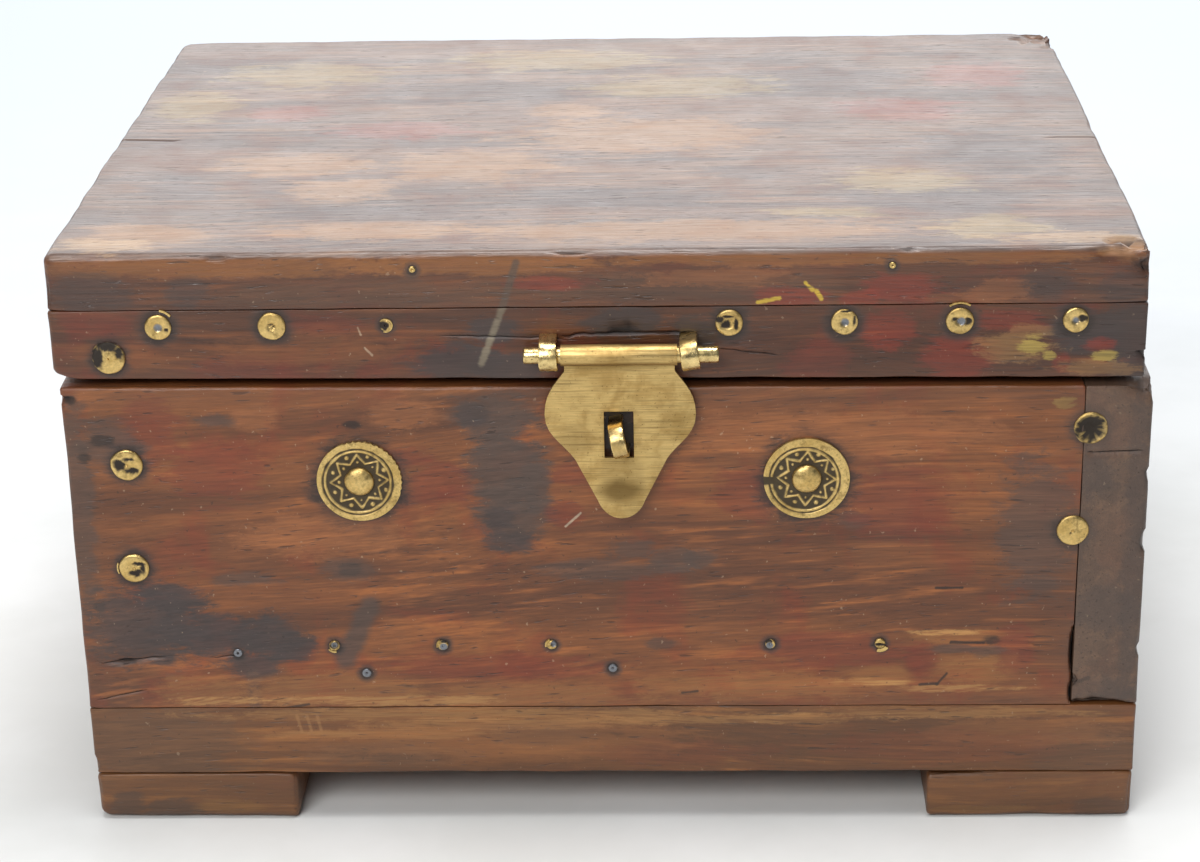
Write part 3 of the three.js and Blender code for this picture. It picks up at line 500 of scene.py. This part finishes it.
boards = {
    "front_board": ("box", {
        "taper": {"run": 0, "side": 1, "from": 0.2, "to": 1.7},
        "tones": redWood, "along": 0, "thin": 1, "seed": 1, "step": 1.9, "marks": frontMarks, "edgeDirt": 0.25,
        "slopes": (0.13, -0.01), "ease": 0.5, "eases": {"-x-y": 1.2, "-y+z": 0.9, "-y-z": 0.25, "+x-y": 0.25},
        "cracks": [{"at": (-135, 47.4), "to": (-118, 49.6), "wide": 0.28, "deep": 1.4},
                   {"at": (-104.4, 48.9), "to": (-99.2, 49.9), "wide": 0.25, "deep": 1.0},
                   {"at": (-137, 36.4), "to": (-123, 39.7), "wide": 0.2, "deep": 0.8}],
        "chips": [{"at": (-128, -106.8, 48.3), "reach": (3.2, 2, 1.0), "deep": 0.9, "dirt": 0.8},
                  {"at": (-64.3, -106.8, 115.2), "reach": (2.4, 2, 1.4), "deep": 0.5, "dirt": 0.3},
                  {"at": (-138.6, -106.8, 123), "reach": (2.6, 3, 1.2), "deep": 1.2, "dirt": 0.9},
                  {"at": (122.8, -106.8, 50), "reach": (0.9, 4, 8.5), "deep": 1.6, "dirt": 1, "ragged": 0.1},
                  {"at": (122.8, -106.8, 38), "reach": (0.8, 4, 4), "deep": 1.2, "dirt": 1, "ragged": 0.1}]}),
    "right_side_board": ("box", {
        "taper": {"run": 1, "side": 1, "from": 1.8, "to": 0},
        "tones": endWood, "along": 1, "thin": 0, "seed": 4, "step": 2.2, "ease": 0.6, "edgeDirt": 0.5,
        "eases": {"+x-y": 1.3, "-x-y": 0.25, "-y-z": 0.6, "-y+z": 1.0},
        "marks": ovals(smearTone, 0.6, (137.5, 80, 3, 48), (131, 62, 8, 7), (126, 100, 6, 6), (133, 38, 8, 4))
        + ovals((120, 84, 60), 0.4, (131, 84, 5, 9), (129, 115, 6, 5), (127, 41, 4, 4))
        + strokes(inkTone, 0.7, 0.5, (123.2, 40.2, 127.4, 42), ragged=0.8),
        "cracks": [{"at": (124, 108), "to": (138.6, 108.4), "wide": 0.25, "deep": 1.3}],
        "chips": [{"at": (140.6, -106.8, 126.5), "reach": (8, 6, 3.6), "deep": 3.4, "ragged": 0.15, "edge": 1.0, "dirt": 0.3},
                  {"at": (140.6, -106.8, 101), "reach": (1.6, 4, 2.2), "deep": 0.9, "dirt": 0.5},
                  {"at": (140.6, -106.8, 82), "reach": (2.2, 5, 2.2), "deep": 1.5, "dirt": 0.5},
                  {"at": (140.6, -106.8, 50.5), "reach": (1.6, 4, 1.6), "deep": 0.9, "dirt": 0.5},
                  {"at": (123.1, -106.8, 41), "reach": (2.2, 3, 0.9), "deep": 1.4, "dirt": 0.9, "ragged": 0.2},
                  {"at": (131, -106.8, 34), "reach": (9, 3, 2.4), "deep": 1.5, "dirt": 0.4, "ragged": 0.3}]}),
    "left_side_board": ("box", {"tones": redWood, "along": 1, "thin": 0, "seed": 3}),
    "back_board": ("box", {"tones": redWood, "along": 0, "thin": 1, "seed": 2, "step": 3.0}),
    "bottom_board": ("box", {
        "tones": baseWood, "along": 0, "thin": 2, "seed": 5, "marks": baseMarks, "edgeDirt": 0.3, "lacquer": 0.2,
        "eases": {"-x-y": 1.0, "+x-y": 1.2, "-y+z": 0.3, "-y-z": 0.8}, "step": 2.4,
        "chips": [{"at": (-139.4, -106.8, 16), "reach": (2, 3, 2.5), "deep": 0.8, "dirt": 0.3}]}),
    "foot_front_left": ("box", {
        "tones": baseWood, "along": 0, "seed": 6, "ease": 1.6, "step": 1.8, "edgeDirt": 0.5, "grey": 0.5,
        "eases": {"-x-y": 2.6, "-y-z": 2.8, "+x-y": 2.0, "-y+z": 0.7, "-x-z": 3.0},
        "marks": ovals(smearTone, 0.7, (-119, 3, 8, 3), (-131, 5, 5, 4)) + ovals((150, 104, 50), 0.5, (-104, 3.5, 9, 2))}),
    "foot_front_right": ("box", {
        "tones": baseWood, "along": 0, "seed": 7, "ease": 1.6, "step": 1.8, "edgeDirt": 0.5, "grey": 0.5,
        "eases": {"-x-y": 1.6, "-y-z": 2.2, "+x-y": 2.8, "-y+z": 0.7, "+x-z": 2.6},
        "marks": ovals(smearTone, 0.5, (132, 3, 8, 3)) + ovals((150, 104, 50), 0.4, (100, 2.5, 14, 1.2)),
        "chips": [{"at": (88, -106.8, 14), "reach": (16, 6, 1.7), "deep": 0.9, "dirt": 0.3, "ragged": 0.2}]}),
    "foot_back_left": ("box", {"tones": baseWood, "along": 0, "seed": 8, "ease": 2.0}),
    "foot_back_right": ("box", {"tones": baseWood, "along": 0, "seed": 9, "ease": 2.0}),
    "lid_front_rail": ("lid", {
        "taper": {"run": 0, "side": -1, "from": 1.9, "to": 0.4},
        "tones": railWood, "along": 0, "thin": 1, "seed": 10, "step": 1.9, "marks": railMarks, "edgeDirt": 0.3,
        "lacquer": 0.6, "ease": 0.4, "eases": {"-x-y": 1.4, "-y-z": 0.7, "-y+z": 0.3, "+x-y": 0.9, "-x-z": 2.5},
        "cracks": [{"at": (-41, 139.3), "to": (-9, 138.2), "wide": 0.24, "deep": 1.1},
                   {"at": (-10, 139.4), "to": (24, 139.9), "wide": 0.7, "deep": 3.4},
                   {"at": (29.5, 135.1), "to": (45.5, 133.1), "wide": 0.24, "deep": 1.2}],
        "chips": [{"at": (6, -106.8, 140.6), "reach": (4, 3, 1.6), "deep": 1.2, "dirt": 0.9, "ragged": 0.5},
                  {"at": (137.4, -106.8, 133.2), "reach": (3.4, 3, 0.8), "deep": 2.2, "dirt": 1, "ragged": 0.1},
                  {"at": (-140.6, -106.8, 126.5), "reach": (5, 6, 3), "deep": 2.0, "ragged": 0.2, "edge": 1.0}]}),
    "lid_back_rail": ("lid", {"tones": railWood, "along": 0, "thin": 1, "seed": 11, "step": 3.0}),
    "lid_left_rail": ("lid", {"taper": {"run": 1, "side": -1, "from": 1.8, "to": 0}, "tones": railWood, "along": 1, "thin": 0, "seed": 12}),
    "lid_right_rail": ("lid", {"tones": railWood, "along": 1, "thin": 0, "seed": 13}),
    "lid_top_board": ("lid", {
        "tones": railWood, "topTonesWithPaintedSheen": topWoodWithPaintedSheen, "along": 0, "thin": 2, "seed": 14, "step": 2.2, "marks": topMarks,
        "ease": 0.4, "edgeDirt": 0.2, "grey": 0.4, "lacquer": 0.4, "gloss": 0.6, "rough": 0.36,
        "eases": {"-y+z": 1.7, "-x+z": 2.0, "+x+z": 2.0, "+y+z": 1.6, "-x-y": 2.4, "+x-y": 2.0, "-x+y": 6.0, "-y-z": 0.3},
        "cracks": [{"at": (123.5, -9.2), "to": (138.2, -9.6), "wide": 0.3, "deep": 1.2, "across": 1, "face": (2, 1)},
                   {"at": (-141, -2), "to": (-123.5, -4), "wide": 0.25, "deep": 0.9, "across": 1, "face": (2, 1)}],
        "chips": [{"at": (136.8, -106.8, 156), "reach": (2.8, 3, 1.3), "deep": 2.6, "dirt": 1, "ragged": 0.2},
                  {"at": (134, -106, 162.5), "reach": (8, 6, 3.4), "deep": 1.3, "raw": 1, "ragged": 0.9},
                  {"at": (133, -101, 162), "reach": (4, 0.9, 2), "deep": 1.0, "dirt": 1, "ragged": 0.3},
                  {"at": (-7.5, -106.8, 162), "reach": (3.4, 2, 1.2), "deep": 0.8, "dirt": 0.7},
                  {"at": (77, -106.8, 162), "reach": (2, 1.6, 1.2), "deep": 0.7, "dirt": 0.6},
                  {"at": (-96.5, -106.8, 161), "reach": (3.4, 2, 1.6), "deep": 0.6, "dirt": 0.5},
                  {"at": (137.8, 104, 162), "reach": (12, 10, 3), "deep": 1.6, "raw": 0.3, "ragged": 0.7}]}),
}
# a dark ring is drawn on the board round every nail and tack head: a wide dim one, and a narrow near-black one at the
# head's edge
for name in frame["nodes"]:
    if "stud" in name or "_nail_" in name or name.startswith(("iron_nail", "top_pin", "rosette_left", "rosette_right")):
        if name.startswith("hinge"):
            continue
        lowest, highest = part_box(name)
        middle, half = (lowest + highest) / 2 / mm, (highest.x - lowest.x) / 2 / mm
        owner = "front_board"
        if name.startswith("lid_"):
            owner = "lid_front_rail"
        elif name.startswith("top_pin"):
            owner = "lid_top_board"
        wide = half + (1.6 if half > 2 else 1.3)
        ring = {"at": (middle.x, middle.z - 0.2), "tone": (58, 48, 44), "amount": 0.6, "ragged": 0.45, "edge": 0.22}
        boards[owner][1]["marks"] += [{**ring, "reach": (wide, wide)}]
        boards[owner][1]["marks"] += [{**ring, "reach": (half + 0.5, half + 0.5), "tone": inkTone, "amount": 0.8}]
        if name.startswith("front_stud") and "right" in name:
            boards["right_side_board"][1]["marks"] += [{**ring, "reach": (wide, wide)}]
for node, (body, look) in boards.items():
    makeBoard(node, body, look)
print("boards made:", len(boards))


def brassPaint(name, look):
    p = Paint(name)
    strokes = p.noise(look["strokes"], 4, 0.65, 0.15)
    fine = p.noise(tuple(3.1 * value for value in look["strokes"]), 2, 0.6, 0, (0.3, 0.1, 0.7))
    clouds = p.noise((120, 120, 120), 5, 0.62, 0.3)
    pits = p.noise((1500, 1500, 1500), 2, 0.6)
    tarnish = p.step(clouds + (strokes - 0.5) * 0.5, 0.40, 0.68)
    colour = p.mix(tarnish * look.get("tarnish", 0.75), tint(*look["bright"]), tint(*look["dull"]))
    colour = p.mix(p.step(strokes, 0.52, 0.30) * 0.6, colour, tint(*look["dark"]))
    colour = p.shade(colour, 0.62 + fine * 0.76)
    colour = p.mix(p.step(pits, 0.34, 0.28) * 0.6, colour, tint(*look["dark"]))
    for centre, reach, amount in look.get("shadows", []):
        cover = p.patch(Vector(centre) * mm, Vector(reach) * mm, (clouds - 0.5) * 1.2, 0, 0.5)
        colour = p.mix(cover * amount, colour, tint(*look["dark"]))
    dirt, core, edge = p.painted("dirt"), p.painted("core"), p.painted("edge")
    # the filed edges are painted towards the bright tone: partly rubbed brass, partly a painted highlight
    colour = p.mix(edge * 0.7, colour, tint(*look["bright"]))
    colour = p.mix(core, colour, p.mix(clouds, tint(96, 100, 108), tint(150, 152, 156)))
    colour = p.mix(dirt.min(1), colour, tint(40, 31, 22))
    rough = look.get("rough", 0.34) + tarnish * 0.14 + (fine - 0.5) * 0.2 + dirt * 0.35 - edge * 0.08
    return p.finish({"Base Color": colour, "Metallic": 1 - dirt.min(1) * 0.9, "Roughness": rough},
                    strokes * 0.5 + clouds * 0.9 + fine * 0.25 - p.step(pits, 0.34, 0.28) * 0.3, look.get("bump", 0.00012))


brassLook = {"bright": (226, 200, 140), "dull": (176, 146, 88), "dark": (104, 80, 44)}
plateLook = {**brassLook, "bright": (206, 176, 116), "dull": (170, 138, 82), "strokes": (45, 45, 1500), "rough": 0.42,
             "shadows": [((4.8, -113, 133.2), (17, 6, 1.6), 0.55), ((4.8, -113, 98.2), (6, 6, 3.0), 0.8),
                         ((4.8, -112, 104), (5, 6, 5), 0.3), ((-7, -112, 112), (5, 6, 4), 0.3)]}
plateBrass = brassPaint("hasp-brass", plateLook)
forgedBrass = brassPaint("forged-brass", {**brassLook, "strokes": (260, 260, 260), "rough": 0.26, "bump": 0.0002})
headBrass = brassPaint("worn-brass", {**brassLook, "bright": (214, 184, 120), "dull": (190, 158, 94),
                                      "strokes": (500, 200, 500), "rough": 0.36})
hingeBrass = brassPaint("hinge-brass", {**brassLook, "bright": (186, 158, 104), "dull": (146, 118, 70),
                                        "strokes": (60, 60, 900), "rough": 0.42})


def copyOf(node):
    mesh = bmesh.new()
    mesh.from_mesh(frame["nodes"][node].data)
    bmesh.ops.remove_doubles(mesh, verts=mesh.verts, dist=0.00001)
    return mesh


def softened(mesh, width, corner=38):
    # filed edges: every sharp edge gets a small round, marked so that the brass paint makes it brighter: partly rubbed
    # bright, partly a painted highlight
    rubbedEdgeHighlightLayer = mesh.faces.layers.float.new("edge")
    bmesh.ops.dissolve_limit(mesh, angle_limit=math.radians(1), verts=mesh.verts, edges=mesh.edges)
    sharp = [edge for edge in mesh.edges
             if len(edge.link_faces) == 2 and edge.calc_face_angle(0) > math.radians(corner)]
    made = bmesh.ops.bevel(mesh, geom=sharp, offset=width * mm, offset_type="OFFSET", segments=2, profile=0.5,
                           affect="EDGES", material=-1, clamp_overlap=True)
    for face in made["faces"]:
        face[rubbedEdgeHighlightLayer] = 1.0


def addMetal(node, mesh, material, body, sharpAngle=28):
    piece = addPiece(node.replace("_", "-"), mesh, material, body, node)
    piece.data.set_sharp_from_angle(angle=math.radians(sharpAngle))
    return piece


# pieces whose solids are right already: the same shape with filed edges and hammer marks
filed = {
    "hasp_plate": ("hasp", plateBrass, 0.3, 0.05), "hasp_pin": ("lid", forgedBrass, 0.4, 0.1),
    "hasp_strap_left": ("lid", forgedBrass, 0.28, 0.14), "hasp_strap_right": ("lid", forgedBrass, 0.28, 0.14),
    "lock_staple": ("box", forgedBrass, 0.28, 0.14),
    "hinge_left_body_leaf": ("box", hingeBrass, 0.2, 0.03), "hinge_left_lid_leaf": ("lid", hingeBrass, 0.2, 0.03),
    "hinge_right_body_leaf": ("box", hingeBrass, 0.2, 0.03), "hinge_right_lid_leaf": ("lid", hingeBrass, 0.2, 0.03),
    "hinge_left_pin": ("box", hingeBrass, 0.2, 0), "hinge_right_pin": ("box", hingeBrass, 0.2, 0),
}
nodeBody = {name: body for body, members in frame["record"]["behaviour"]["bodies"].items() for name in members}
for node, (body, material, width, hammer) in filed.items():
    mesh = copyOf(node)
    softened(mesh, width)
    for v in mesh.verts:
        v.co += v.normal * noise.noise(v.co * 420 + Vector((7, 1, 3))) * hammer * mm
    addMetal(node, mesh, material, nodeBody[node])
print("hasp and hinges made")


def turned(mesh, profile, steps=48):
    # turns (radius, height) points about a line that runs towards the front; heights are outwards
    verts = [mesh.verts.new((radius * mm, -height * mm, 0)) for radius, height in profile]
    edges = [mesh.edges.new(pair) for pair in zip(verts, verts[1:])]
    bmesh.ops.spin(mesh, geom=verts + edges, cent=(0, 0, 0), axis=(0, 1, 0), angle=math.tau, steps=steps,
                   use_merge=True, use_duplicate=False)
    bmesh.ops.remove_doubles(mesh, verts=mesh.verts, dist=0.000002)
    bmesh.ops.recalc_face_normals(mesh, faces=mesh.faces)


def addSliver(mesh, radius, wide, start, sweep, rise):
    # a bright curved remnant of a head, an arc of even width
    corners = [(radius, -rise), (radius + wide, -rise), (radius + wide, 0.4), (radius, 0.4)]
    verts = [mesh.verts.new((r * mm, y * mm, 0)) for r, y in corners]
    face = mesh.faces.new(verts)
    turn = Matrix.Rotation(math.radians(-start), 4, "Y")
    bmesh.ops.transform(mesh, matrix=turn, verts=verts)
    steps = 12
    bmesh.ops.spin(mesh, geom=[face], cent=(0, 0, 0), axis=(0, -1, 0), angle=math.radians(sweep), steps=steps,
                   use_merge=False, use_duplicate=False)


def placed(mesh, at):
    bmesh.ops.translate(mesh, verts=mesh.verts, vec=Vector(at) * mm)


# the heads: where each is hollow, dirty or shows its iron core, in millimetres from its middle
def disc(radius, high=0.6, hollow=1.0):
    inner = [(0, high - 0.35), (hollow * 0.5, high - 0.32), (hollow, high - 0.2), (hollow * 1.25, high)]
    outer = [(hollow * 1.25 + (radius * 0.9 - hollow * 1.25) * i / 7, high + 0.06 * math.sin(i / 7 * math.pi))
             for i in range(1, 8)]
    rim = [(radius * 0.96, high - 0.12), (radius, high - 0.3), (radius, -0.5), (0.8, -0.5), (0.8, -10), (0, -11)]
    return inner + outer + rim


heads = {
    "lid_stud_1": {"radius": 3.4, "core": (0, 0, 1.0), "blots": [(2.0, -0.6, 0.45, 0.4)], "sliver": (4.3, 0.55, 42, 40)},
    "lid_stud_2": {"radius": 3.6, "blots": [(-0.2, 0.5, 0.7, 0.25), (-0.75, 0.1, 0.2, 0.4), (0.6, 0.1, 0.2, 0.4)]},
    "lid_stud_3_worn": {"radius": 1.5, "hollow": 0.3, "blots": [(-0.3, 0, 1.35, 1.2)], "sliver": (1.45, 0.4, -110, 250)},
    "lid_stud_6": {"radius": 3.5, "hollow": 1.2, "blots": [(-0.8, -0.4, 1.2, 1.2), (-2.5, 1.0, 1.2, 0.9), (-0.6, 1.7, 1.3, 0.35),
                                                          (1.7, -0.4, 0.5, 1.6)]},
    "lid_stud_7": {"radius": 3.4, "core": (0.1, 0, 1.0), "blots": [(2.5, 0.6, 0.4, 1.3), (0.4, 2.9, 1.6, 0.25)]},
    "lid_stud_8": {"radius": 3.5, "core": (0.4, 0, 1.0), "blots": [(-1.1, 0.5, 0.9, 0.5), (2.1, 0, 0.8, 0.9)],
                   "sliver": (4.6, 0.45, 58, 66)},
    "lid_stud_9": {"radius": 3.3, "core": (0, 0, 0.9), "blots": [(1.8, 0.5, 1.1, 0.9)]},
    "lid_corner_stud": {"radius": 4.2, "hollow": 0.2, "high": 1.0, "blots": [(-2.9, 0.2, 1.6, 3.2), (0, 3.2, 3.2, 1.2),
                                                                         (2.9, 1.6, 1.0, 1.6)], "sliver": (4.2, 0.4, 120, 36)},
    "front_stud_upper_left": {"radius": 4.2, "hollow": 0.4, "blots": [(-1.9, -0.2, 1.3, 1.5), (1.6, -1.5, 1.7, 0.9),
                                                                    (0.6, 1.6, 1.5, 0.4)]},
    "front_stud_lower_left": {"radius": 4.0, "hollow": 0.4, "blots": [(1.2, 1.3, 1.7, 0.5), (0.4, -1.3, 1.8, 0.9),
                                                                    (2.3, 0.6, 0.7, 1.2)], "sliver": (4.2, 0.35, 160, 40)},
    "front_stud_upper_right": {"radius": 4.3, "hollow": 2.9, "blots": [(0, 0, 3.6, 3.5)]},
    "front_stud_lower_right": {"radius": 4.1, "hollow": 0.3, "blots": [(-0.3, -0.6, 0.5, 0.2)]},
    "front_nail_1": {"radius": 1.4, "hollow": 0.3, "blots": [(0, 0.2, 1.3, 0.9)], "core": (0, 0.3, 0.8),
                     "sliver": (1.5, 0.5, 215, 70)},
    "front_nail_2": {"radius": 1.4, "hollow": 0.3, "core": (0.2, -0.3, 1.0), "blots": [(0.3, 1.2, 0.9, 0.4)],
                     "sliver": (1.3, 0.5, 120, 80)},
    "front_nail_3": {"radius": 1.3, "hollow": 0.3, "core": (0.5, 0.4, 0.8), "blots": [(0.9, 0.7, 0.9, 0.9)],
                     "sliver": (1.3, 0.5, 110, 90)},
    "front_nail_5": {"radius": 1.3, "hollow": 0.3, "core": (-0.2, -0.3, 0.9), "blots": [(-0.4, 0.7, 0.9, 0.5)]},
    "front_nail_6": {"radius": 1.4, "hollow": 0.2, "blots": [(0.2, -0.2, 1.3, 0.4)], "sliver": (1.5, 1.0, 250, 80)},
    "iron_nail_left": {"radius": 1.2, "hollow": 0.3, "high": 0.15, "core": (0, 0, 3)},
    "iron_nail_middle": {"radius": 1.25, "hollow": 0.3, "high": 0.15, "core": (0, 0, 3)},
    "iron_nail_right": {"radius": 1.2, "hollow": 0.3, "high": 0.15, "core": (0, 0, 3)},
    "top_pin_left": {"radius": 0.85, "hollow": 0.2, "high": 0.2},
    "top_pin_right": {"radius": 0.85, "hollow": 0.2, "high": 0.2},
}
for side in ("left", "right"):
    heads["rosette_nail_" + side] = {"radius": 3.8, "hollow": 0.1, "high": 0.9, "dome": 1.4}
for node, head in heads.items():
    lowest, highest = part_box(node)
    centre = (lowest + highest) / 2 / mm
    face = frontY
    mesh = bmesh.new()
    radius, high = head["radius"], head.get("high", 0.5)
    if "dome" in head:
        profile = [(radius * math.sin(a * math.pi / 16), high + head["dome"] * math.cos(a * math.pi / 16)) for a in range(9)]
        turned(mesh, profile + [(radius, -0.3), (0.8, -0.3), (0.8, -10), (0, -11)])
    else:
        turned(mesh, disc(radius, high, head.get("hollow", 1.0)))
    if "sliver" in head:
        reach, wide, start, sweep = head["sliver"]
        addSliver(mesh, reach, wide, start, sweep, high * 0.7)
    dirtLayer = mesh.verts.layers.float.new("dirt")
    coreLayer = mesh.verts.layers.float.new("core")
    seed = Vector((centre.x * 0.37, 2.0, centre.z * 0.23))
    for v in mesh.verts:
        across, up = v.co.x / mm, v.co.z / mm
        reach = math.hypot(across, up)
        wobble = noise.noise(v.co * 900 + seed)
        if reach > 0.3:
            v.co.x *= 1 + 0.045 * noise.noise(Vector((across / reach * 1.3, up / reach * 1.3, 0)) + seed)
            v.co.z *= 1 + 0.045 * noise.noise(Vector((across / reach * 1.3, up / reach * 1.3, 4)) + seed)
        if v.co.y < -0.05 * mm:
            v.co.y += noise.noise(v.co * 500 + seed) * 0.12 * mm
        for u, w, halfWide, halfHigh in head.get("blots", []):
            away = math.hypot((across - u) / halfWide, (up - w) / halfHigh) + wobble * 0.5
            share = min(max((1.25 - away) / 0.35, 0), 1)
            v[dirtLayer] = max(v[dirtLayer], share)
            if v.co.y < 0:
                v.co.y += share * 0.25 * mm
        if "core" in head:
            u, w, size = head["core"]
            share = min(max((1.2 - math.hypot(across - u, up - w) / size) / 0.3, 0), 1)
            v[coreLayer] = share
            v[dirtLayer] *= 1 - share * 0.8
    placed(mesh, (centre.x, face, centre.z))
    addMetal(node, mesh, headBrass, nodeBody[node], 50)
print("tack heads and nails made:", len(heads))


# the pressed rosettes: a ring, an eight-pointed star line and dots over a dark ground
rosettes = {
    "rosette_left": {"rim": 11.1, "shift": (-0.45, -0.25), "teeth": (-20, 110), "notch": None, "turn": 3},
    "rosette_right": {"rim": 11.1, "shift": (-0.5, -0.45), "teeth": None, "notch": 183, "turn": -2},
}
starOuter, starInner, dotRing, lineHalf = 7.5, 5.1, 7.2, 0.24


def strokeDistance(across, up, first, second):
    run = (second[0] - first[0], second[1] - first[1])
    share = ((across - first[0]) * run[0] + (up - first[1]) * run[1]) / (run[0] ** 2 + run[1] ** 2)
    share = min(max(share, 0), 1)
    return math.hypot(across - first[0] - run[0] * share, up - first[1] - run[1] * share)


def makeRosette(node, look):
    lowest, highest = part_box(node)
    centre = (lowest + highest) / 2 / mm
    mesh = bmesh.new()
    rim = look["rim"]
    rings = [rim * i / 52 for i in range(52)]
    turned(mesh, [(r, 0.75) for r in rings] + [(rim, 0.7), (rim, -0.1), (0, -0.1)], 168)
    dirtLayer = mesh.verts.layers.float.new("dirt")
    corners = []
    for i in range(17):
        angle = math.radians(90 + look["turn"] + i * 22.5)
        reach = starOuter if i % 2 == 0 else starInner
        corners.append((reach * math.cos(angle), reach * math.sin(angle)))
    dots = []
    for i in range(8):
        angle = math.radians(90 + look["turn"] + 22.5 + i * 45)
        dots.append((dotRing * math.cos(angle), dotRing * math.sin(angle), 0.48))
        inner = math.radians(90 + look["turn"] + i * 45)
        dots.append((5.3 * math.cos(inner), 5.3 * math.sin(inner), 0.3))
    seed = Vector((centre.x * 0.1, 5, 1))
    for v in mesh.verts:
        across, up = v.co.x / mm, v.co.z / mm
        reach, angle = math.hypot(across, up), math.degrees(math.atan2(up, across))
        if v.co.y > -0.5 * mm and reach < rim - 0.3:
            continue
        wobble = noise.noise(v.co * 500 + seed)
        uneven = wobble * 0.16
        near = min(strokeDistance(across, up, *pair) for pair in zip(corners, corners[1:])) - lineHalf + uneven
        near = min([near] + [math.hypot(across - u, up - w) - size + uneven for u, w, size in dots])
        shifted = math.hypot(across - look["shift"][0], up - look["shift"][1])
        near = min(near, abs(shifted - 8.55) - 0.33 + uneven)
        near = min(near, 9.35 - shifted + wobble * 0.2)
        if reach < 4.0:
            near = 1
        if look["notch"] is not None and abs(angle % 360 - look["notch"]) < 7 and reach > 8.6:
            near = 0.6
        low = min(max(near / 0.22 + 0.5, 0), 1)
        v[dirtLayer] = low * (0.94 if reach > 3 else 1)
        if v.co.y < -0.5 * mm:
            v.co.y += low * 0.32 * mm
        if look["teeth"] and look["teeth"][0] < angle < look["teeth"][1] and reach > rim - 0.6:
            bite = 1 - 0.028 * (0.5 + 0.5 * math.sin(math.radians(angle) * 44))
            v.co.x *= bite
            v.co.z *= bite
    placed(mesh, (centre.x, frontY, centre.z))
    addMetal(node, mesh, headBrass, "box", 60)


for node, look in rosettes.items():
    makeRosette(node, look)
for name, obj in frame["nodes"].items():
    if name.startswith("hinge") and "nail" in name:
        obj.data.materials.clear()
        obj.data.materials.append(hingeBrass)
print("rosettes made")


def makeFloor():
    mesh = bmesh.new()
    bmesh.ops.create_grid(mesh, x_segments=2, y_segments=2, size=3.0)
    data = bpy.data.meshes.new("floor")
    mesh.to_mesh(data)
    mesh.free()
    floor = bpy.data.objects.new("floor", data)
    scene.collection.objects.link(floor)
    p = Paint("paleFloor")
    across, depth, height = p.axes()
    clouds = p.noise((9, 9, 9), 5, 0.6)
    colour = p.mix(p.step(clouds, 0.35, 0.65), tint(221, 221, 218), tint(230, 230, 228))
    colour = p.mix(p.step(depth, -0.1, 0.8), colour, tint(232, 238, 245))
    data.materials.append(p.finish({"Base Color": colour, "Roughness": 0.6, "Specular IOR Level": 0.0}))


def addSoftbox(name, place, aim, size, power):
    lamp = bpy.data.lights.new(name, "AREA")
    lamp.shape = "RECTANGLE"
    lamp.size, lamp.size_y = size
    lamp.energy = power
    obj = bpy.data.objects.new(name, lamp)
    turn = (Vector(place) - Vector(aim)).to_track_quat("Z", "Y").to_matrix().to_4x4()
    obj.matrix_world = Matrix.Translation(place) @ turn
    obj.visible_camera = False
    scene.collection.objects.link(obj)


# the lamps: over the box, high in front at the left, and low behind for the sheen on the lid
lamps = {
    "softboxAbove": ((0.05, -0.05, 1.3), (0, 0, 0.1), (0.8, 0.6), 15.0),
    "softboxFront": ((-0.45, -1.25, 1.0), (0, 0, 0.08), (0.9, 0.7), 15.0),
    "softboxBehind": ((0.0, 1.5, 0.66), (0, 0, 0.15), (2.4, 0.8), 14.0),
}
fill = {"tone": (225, 235, 245), "strength": 0.24}


def makeLight():
    world = bpy.data.worlds.new("studio")
    world.use_nodes = True
    back = world.node_tree.nodes["Background"]
    back.inputs[0].default_value = tint(*fill["tone"])
    back.inputs[1].default_value = fill["strength"]
    scene.world = world
    for name, (place, aim, size, power) in lamps.items():
        addSoftbox(name, place, aim, size, power)


view = {"place": (23.71, -784.14, 386.10), "pitch": 21.92, "yaw": -2.05, "roll": -1.16, "lens": 85.39}


def makeCamera():
    camera = bpy.data.cameras.new("camera")
    camera.lens, camera.sensor_width = view["lens"], 36
    obj = bpy.data.objects.new("camera", camera)
    turn = (Matrix.Rotation(math.radians(-view["yaw"]), 4, "Z")
            @ Matrix.Rotation(math.radians(90 - view["pitch"]), 4, "X")
            @ Matrix.Rotation(math.radians(view["roll"]), 4, "Z"))
    obj.matrix_world = Matrix.Translation(Vector(view["place"]) * mm) @ turn
    scene.collection.objects.link(obj)
    scene.camera = obj


makeFloor()
makeLight()
makeCamera()
print("stage set")
